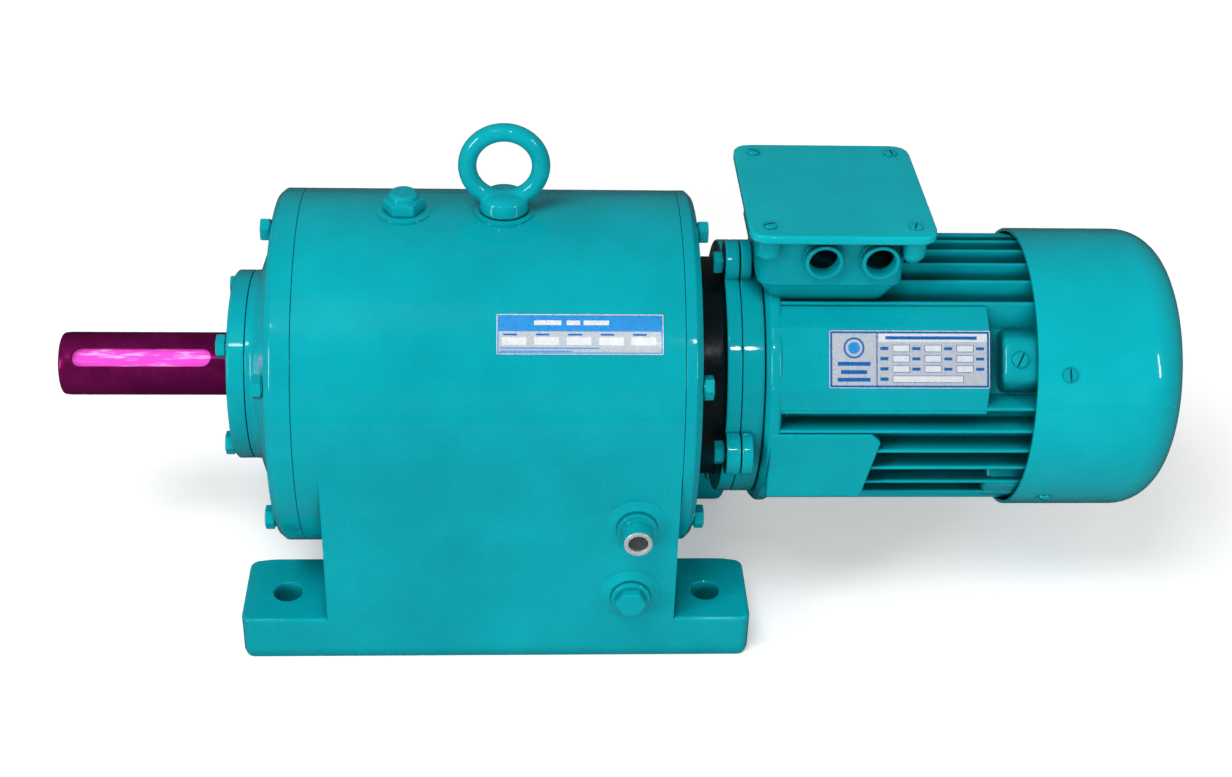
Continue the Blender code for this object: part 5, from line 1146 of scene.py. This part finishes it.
def thread(radius, start, end, pitch=0.0015, depth=0.0005):
    """A threaded hole as a round tool with a row of fine grooves."""
    turns = int((end - start) / pitch)
    section = [(start, 0.0)]
    for i in range(turns):
        low = start + (end - start) * i / turns
        section += [(low, radius), (low + (end - start) / turns / 2, radius + depth)]
    return spun([*section, (end, radius), (end, 0.0)], HOLE_ROUND)


box = boxed(BOX_LENGTH, BOX_WIDTH, BOX_CORNER, BOX_FLOOR, BOX_TOP, edge=0.0008, both=True)
posts = [lid_post(x, y) for x, y, _ in LID_SCREWS]
box = carved(box, *posts, *[entry_boss(x) for x in ENTRY_PLACES], operation="UNION")
holes = [put(thread(0.009, 0.040, 0.056), out_front(x, ENTRY_Z)) for x in ENTRY_PLACES]
wire_hole = put(rod(0.012, -0.01, 0.01), on_top(BOX_MIDDLE, z=BOX_FLOOR))
box = carved(box, inside_box(BOX_FLOOR + BOX_WALL, BOX_TOP + 0.01), *holes, wire_hole)
piece("terminal_box_casting", box, motor_enamel, nodes=["terminal_box"])

gasket = carved(
    boxed(BOX_LENGTH - GASKET_INSET, BOX_WIDTH - GASKET_INSET, BOX_CORNER, BOX_TOP - 0.0002, LID_BOTTOM),
    inside_box(BOX_TOP - 0.002, LID_BOTTOM + 0.002),
)
piece("lid_gasket", gasket, seal_rubber)

lid = pushed(rectangle(LID_LENGTH, LID_WIDTH, 0.012), LID_BOTTOM, LID_TOP, edge=0.0016, both=True)
# The cast lid takes the lighter sheet enamel: painted light that brightens it.
piece("lid_casting", put(lid, on_top(LID_MIDDLE, z=0.0)), sheet_enamel,
      nodes=["terminal_box_lid"])

# %% [markdown]
# ## Lifting eye, breather, sight glass and drain plug
# The eye bolt is forged, so its ring swells smoothly out of its collar. The two shapes are fused with a voxel
# remesh and smoothed, which gives that forged fillet. The plugs are turned and have wrench hexagons.

# %%
# Eye bolt.
EYE_SEAT = AXIS + DRUM + SPOT_TOP + SEAT_GAP
EYE_RING, EYE_WIRE = 0.0222, 0.0056
EYE_MIDDLE = EYE_SEAT + 0.010 + EYE_RING - EYE_WIRE / 2
EYE_VOXEL = 0.0006


def fused(bm, voxel, smoothings=3):
    """Shapes melted into one skin, with their meeting lines filled and smoothed."""
    item = plain_object(bm)
    melt = item.modifiers.new("melt", "REMESH")
    melt.mode, melt.voxel_size = "VOXEL", voxel
    even = item.modifiers.new("even", "SMOOTH")
    even.factor, even.iterations = 0.5, smoothings
    return applied(item)


wire = arc((0.0, EYE_RING), EYE_WIRE, 0.0, 360.0, 24)[:-1]
ring = put(spun(wire, 72, closed=True), out_front(EYE_X, EYE_MIDDLE))
collar_section = [
    (-0.001, 0.0), (-0.001, 0.0150), (0.0078, 0.0150), (0.0106, 0.0108), (0.0112, 0.0060), (0.0112, 0.0),
]
collar = turned(collar_section, [0, 0.0008, 0.0032, 0.003, 0.001, 0], PLUG_ROUND)
eye = fused(gathered(ring, put(collar, on_top(EYE_X, z=EYE_SEAT + 0.001))), EYE_VOXEL, 6)
shank = put(rod(0.0057, -0.010, 0.003, 24), on_top(EYE_X, z=EYE_SEAT))
piece("lifting_eye_forging", gathered(eye, shank), casting_enamel, nodes=["eye_bolt"],
      weighted=False)

# %%
# Breather, sight glass and drain plug.
PLUG_SEAT = DRUM + BOSS_TOP + SEAT_GAP
PLUG_SHANK, PLUG_COLLAR, PLUG_COLLAR_TOP = 0.0077, 0.0122, 0.003
GLASS_TUBE, GLASS_RIM, GLASS_TOP, GLASS_SEAT = 0.0087, 0.0060, 0.016, 0.012
GLASS_PAINTED, LENS_HEIGHT = 0.0105, 0.0123

cap_section = [
    (0.005, 0.0), (0.005, 0.0105), (0.0075, 0.0105), (0.0078, 0.009), (0.0100, 0.009), (0.0115, 0.0072),
    (0.0115, 0.0),
]
breather = gathered(
    pushed(hexagon(0.022), 0.0, 0.007, edge=0.0012),
    turned(cap_section, [0, 0, 0.0006, 0.0003, 0.0015, 0.002, 0], HOLE_ROUND),
    rod(0.0062, -0.010, 0.001, 24),
)
breather = put(breather, on_top(BREATHER_X, z=EYE_SEAT))
piece("breather_painted", breather, fastener_enamel, nodes=["breather_plug"])

plug_foot = [
    (-0.010, 0.0), (-0.010, PLUG_SHANK), (0.0, PLUG_SHANK), (0.0, PLUG_COLLAR),
    (PLUG_COLLAR_TOP, PLUG_COLLAR),
]
glass_section = [
    *plug_foot, (PLUG_COLLAR_TOP, GLASS_TUBE), (GLASS_TOP, GLASS_TUBE), (GLASS_TOP, GLASS_RIM),
    (GLASS_SEAT, GLASS_RIM), (GLASS_SEAT, 0.0),
]
glass_body = turned(glass_section, [0, 0, 0, 0.0004, 0.0006, 0.0008, 0.0008, 0.0006, 0, 0], PLUG_ROUND)
glass_piece = piece("sight_glass_rim", put(glass_body, out_front(*SIGHT_PLACE, y=-PLUG_SEAT)), chrome,
                    nodes=["oil_sight_glass"])
second_finish(glass_piece, fastener_enamel, lambda face: face.center.y > -PLUG_SEAT - GLASS_PAINTED)
lens = turned([(0.0, 0.0), (0.0, 0.0057), (0.0022, 0.0057), (0.0027, 0.0)], [0, 0, 0.0004, 0], HOLE_ROUND)
piece("sight_glass_lens", put(lens, out_front(*SIGHT_PLACE, y=-PLUG_SEAT - LENS_HEIGHT)), dark_glass,
      nodes=["sight_glass_window"])

drain = gathered(
    turned([*plug_foot, (PLUG_COLLAR_TOP, 0.0)], [0, 0, 0, 0.0004, 0.001, 0], HOLE_ROUND),
    pushed(hexagon(0.017), 0.0025, 0.009, edge=0.0014),
)
piece("drain_plug_painted", put(drain, out_front(*DRAIN_PLACE, y=-PLUG_SEAT)), fastener_enamel,
      nodes=["drain_plug"])

# %% [markdown]
# ## Nameplates
# Both plates are thin printed aluminium. Only generic fields are printed: colour bands, ruled boxes and bars
# in place of words. The print is worked out from each plate's own coordinates in millimetres, which are kept
# as an attribute of its mesh, so it bends with the plate.

# %%
# Print on a plate.
BLUE = (0.012, 0.150, 0.520, 1.0)
SKY = (0.030, 0.330, 0.820, 1.0)
SILVER = (0.58, 0.63, 0.70, 1.0)
WHITE = (0.86, 0.90, 0.93, 1.0)


class Print:
    """Coloured rectangles and discs on a plate, one over the other."""

    def __init__(self, name, length, width, ground):
        self.paint = Paint(name)
        place = self.paint.add("Attribute", {"attribute_name": "plate"}, output="Vector")
        self.u, self.v, _ = self.paint.parts(place)
        self.length, self.width = length, width
        self.stain = self.paint.noise(place, 0.22, 4.0, 0.6)
        self.colour = self.paint.blend(self.stain, ground, WHITE)

    def box(self, left, low, right, high, colour):
        """A filled rectangle, in millimetres from the plate's lower left corner."""
        mask = self.u.above(left) * self.u.below(right) * self.v.above(low) * self.v.below(high)
        self.colour = self.paint.blend(mask, self.colour, colour)

    def frame_line(self, left, low, right, high, width, colour, inner):
        """An outlined rectangle."""
        self.box(left, low, right, high, colour)
        self.box(left + width, low + width, right - width, high - width, inner)

    def disc(self, x, y, inner, outer, colour):
        """A ring, or a disc when its inner radius is below zero."""
        across, up = self.u - x, self.v - y
        distance = (across * across + up * up).math("SQRT")
        self.colour = self.paint.blend(distance.above(inner) * distance.below(outer), self.colour, colour)

    def finish(self):
        """The printed material: satin aluminium under thin ink."""
        worn = self.paint.fade(self.stain, 0.35, 0.7, 0.24, 0.40)
        return self.paint.surface(
            Base_Color=self.colour, Metallic=0.35, Roughness=worn, Normal=self.paint.bump(self.stain, 0.0001),
        )


def gear_print():
    """A blue heading over one row of white fields, with small bars for the words."""
    label = Print("gear_plate_print", 98.0, 24.0, SILVER)
    label.frame_line(0.6, 0.6, 97.4, 23.4, 0.7, SKY, SILVER)
    label.box(1.2, 13.6, 96.8, 22.8, SKY)
    for left, right in ((22.0, 38.0), (41.0, 49.0), (51.0, 66.0)):
        label.box(left, 17.4, right, 20.2, WHITE)
    for i in range(5):
        left = 3.0 + 19.0 * i
        label.box(left + 1.0, 11.2, left + 9.0, 12.3, BLUE)
        label.box(left, 5.6, left + 14.5, 10.2, WHITE)
    label.box(2.0, 3.4, 60.0, 4.1, SKY)
    label.box(2.0, 1.6, 44.0, 2.3, SKY)
    return label.finish()


def motor_print():
    """A heading over a cell for an emblem and a table of fields."""
    label = Print("motor_plate_print", 98.0, 35.0, SILVER)
    label.frame_line(0.5, 0.5, 97.5, 34.5, 1.3, BLUE, SILVER)
    label.box(30.0, 28.2, 96.2, 33.2, WHITE)
    label.box(34.0, 29.6, 90.0, 31.6, BLUE)
    label.box(28.6, 1.8, 29.3, 33.2, BLUE)
    label.disc(15.0, 24.4, 5.2, 6.4, BLUE)
    label.disc(15.0, 24.4, -1.0, 3.6, SKY)
    for low, left, right in ((13.6, 5.0, 25.0), (8.6, 7.0, 23.0), (4.0, 5.0, 25.0)):
        label.box(left, low, right, low + 2.4, BLUE)
    for row in range(4):
        low = 22.6 - 6.2 * row
        label.box(31.0, low + 0.6, 36.0, low + 2.6, BLUE)
        if row == 3:
            label.frame_line(38.5, low - 0.6, 82.0, low + 3.8, 0.35, BLUE, WHITE)
            continue
        for column in range(3):
            left = 38.5 + 19.5 * column
            label.frame_line(left, low - 0.6, left + 10.5, low + 3.8, 0.35, BLUE, WHITE)
            label.box(left + 12.0, low + 0.6, left + 17.0, low + 2.4, BLUE)
    return label.finish()


# %%
# Plate blanks, bent to their seats.
MILLIMETRES = 1000.0
PLATE_CREASE = math.radians(50.0)
PLATE_GAP = 0.0001


def plate_blank(length, width, corner, thickness=0.0005):
    """A plate with enough rows to bend, and its own coordinates in millimetres."""
    bm = pushed(rectangle(length, width, corner), 0.0, thickness)
    for size, rows, across in ((width, 12, Vector((0.0, 1.0, 0.0))), (length, 24, Vector((1.0, 0.0, 0.0)))):
        for i in range(1, rows):
            everything = bm.verts[:] + bm.edges[:] + bm.faces[:]
            cut = across * (-size / 2 + size * i / rows)
            bmesh.ops.bisect_plane(bm, geom=everything, plane_co=cut, plane_no=across)
    own = bm.verts.layers.float_vector.new("plate")
    for vert in bm.verts:
        vert[own] = ((vert.co.x + length / 2) * MILLIMETRES, (vert.co.y + width / 2) * MILLIMETRES, 0.0)
    return bm


def rolled(bm, radius):
    """Rolls a flat plate round the shaft's axis, its own Y axis running round the drum."""
    for vert in bm.verts:
        angle = vert.co.y / radius
        out = radius + vert.co.z
        vert.co.y, vert.co.z = out * math.sin(angle), out * math.cos(angle)
    return bm


GEAR_PLATE_X, GEAR_PLATE_ANGLE = 0.0488, 137.8
gear_plate = rolled(plate_blank(0.098, 0.024, 0.0008), DRUM + PLATE_GAP)
put(gear_plate, on_round(GEAR_PLATE_X, GEAR_PLATE_ANGLE, 0.0))
piece("gear_nameplate", gear_plate, gear_print(), crease=PLATE_CREASE)

MOTOR_PLATE_X = 0.249
motor_plate = plate_blank(0.098, 0.035, 0.001)
put(motor_plate, on_round(MOTOR_PLATE_X, PAD_ANGLES[1], PAD_FACE + PLATE_GAP))
piece("motor_nameplate", motor_plate, motor_print(), crease=PLATE_CREASE)

# %% [markdown]
# ## Studio
# The photograph was taken on a white sweep in soft frontal light. The floor is a real one and keeps the soft
# shadow. A glow that only the camera sees lifts its lit part to white, and grows to full white away from the
# object. Light Path gives the floor and the world three looks each: white to the camera, dimmer in the light
# that they throw, and dark in reflections, so that the glossy enamel stays saturated.

# %%
# Floor and background.
FLOOR_GLOW, GLOW_NEAR, GLOW_FAR = 0.31, 0.50, 1.30
FLOOR_SEEN, FLOOR_LIT, FLOOR_MIRRORED = 0.94, 0.55, 0.08
FLOOR_GAP = 0.0004
WORLD_LIGHT, WORLD_MIRRORED = 0.26, 0.06
PURE_WHITE = (1.0, 1.0, 1.0, 1.0)


def by_ray(paint, seen, lit, mirrored):
    """One of three shaders: for the camera's rays, for the light thrown on things, and for reflections."""
    camera_ray = paint.add("LightPath", output="Is Camera Ray")
    glossy_ray = paint.add("LightPath", output="Is Glossy Ray")
    others = paint.add("MixShader", values={0: glossy_ray, 1: lit, 2: mirrored})
    return paint.add("MixShader", values={0: camera_ray, 1: others, 2: seen})


def floor_material():
    """A pale floor: brightest to the camera, dimmer in the light that it throws and in reflections."""
    paint = Paint("studio_floor")
    pale, matt, dim = (
        paint.add("BsdfDiffuse", values={"Color": (grey, grey, grey, 1.0)})
        for grey in (FLOOR_SEEN, FLOOR_LIT, FLOOR_MIRRORED)
    )
    away = paint.add("VectorMath", {"operation": "LENGTH"}, {0: paint.place()}, output="Value")
    tone = paint.fade(away, GLOW_NEAR, GLOW_FAR)
    glow = paint.add("Emission", values={"Color": paint.blend(tone, (*[FLOOR_GLOW] * 3, 1.0), PURE_WHITE)})
    shown = paint.add("AddShader", values={0: pale, 1: glow})
    paint.add("OutputMaterial", values={"Surface": by_ray(paint, shown, matt, dim)})
    return paint.material


floor_mesh = bmesh.new()
bmesh.ops.create_grid(floor_mesh, x_segments=2, y_segments=2, size=8.0)
floor = plain_object(floor_mesh, "studio_floor")
floor.location.z = -FLOOR_GAP
floor.data.materials.append(floor_material())


def studio_world():
    """White behind the object, even light on it, and a dimmer room in its reflections."""
    sky = Paint("studio", bpy.data.worlds.new("studio"))
    white, light, room = (
        sky.add("Background", values={"Color": PURE_WHITE, "Strength": strength})
        for strength in (1.0, WORLD_LIGHT, WORLD_MIRRORED)
    )
    sky.add("OutputWorld", values={"Surface": by_ray(sky, white, light, room)})
    return sky.material


bpy.context.scene.world = studio_world()

# %% [markdown]
# ## Lamps
# A key lamp above, a low one in front and one behind give the broad, soft light. A glossy coat would show
# each as a large white patch, which the photograph doesn't have, so reflections leave them out. The
# highlights there are thin. A narrow strip on each side, one over the shaft and one small lamp make them.

# %%
# Broad lamps for the light and narrow ones for the highlights.
LIGHT_AIM = Vector((0.05, 0.0, 0.15))


def softbox(name, place, size, power, mirrored=False):
    """A rectangular lamp that looks at the middle of the object. Reflections show it only if mirrored."""
    lamp = bpy.data.lights.new(name, "AREA")
    lamp.shape, lamp.size, lamp.size_y, lamp.energy = "RECTANGLE", *size, power
    item = bpy.data.objects.new(name, lamp)
    item.location = place
    item.rotation_euler = (LIGHT_AIM - Vector(place)).to_track_quat("-Z", "Y").to_euler()
    item.visible_glossy = mirrored
    bpy.context.scene.collection.objects.link(item)


softbox("key", (-0.6, -1.0, 2.3), (1.2, 0.9), 30.0)
softbox("front", (0.3, -2.5, 0.6), (2.0, 0.6), 20.0)
softbox("left_strip", (-1.8, -1.3, 0.9), (0.30, 1.00), 16.0, mirrored=True)
softbox("right_strip", (1.7, -1.3, 1.0), (0.15, 0.60), 5.0, mirrored=True)
softbox("back_fill", (0.0, 2.4, 1.0), (2.0, 0.8), 8.0)
softbox("shaft_strip", (-0.51, -0.99, 1.65), (0.30, 0.10), 1.2, mirrored=True)
softbox("top_glint", (0.4, -1.6, 1.9), (0.10, 0.10), 1.4, mirrored=True)

bpy.context.scene.view_settings.view_transform = "Standard"
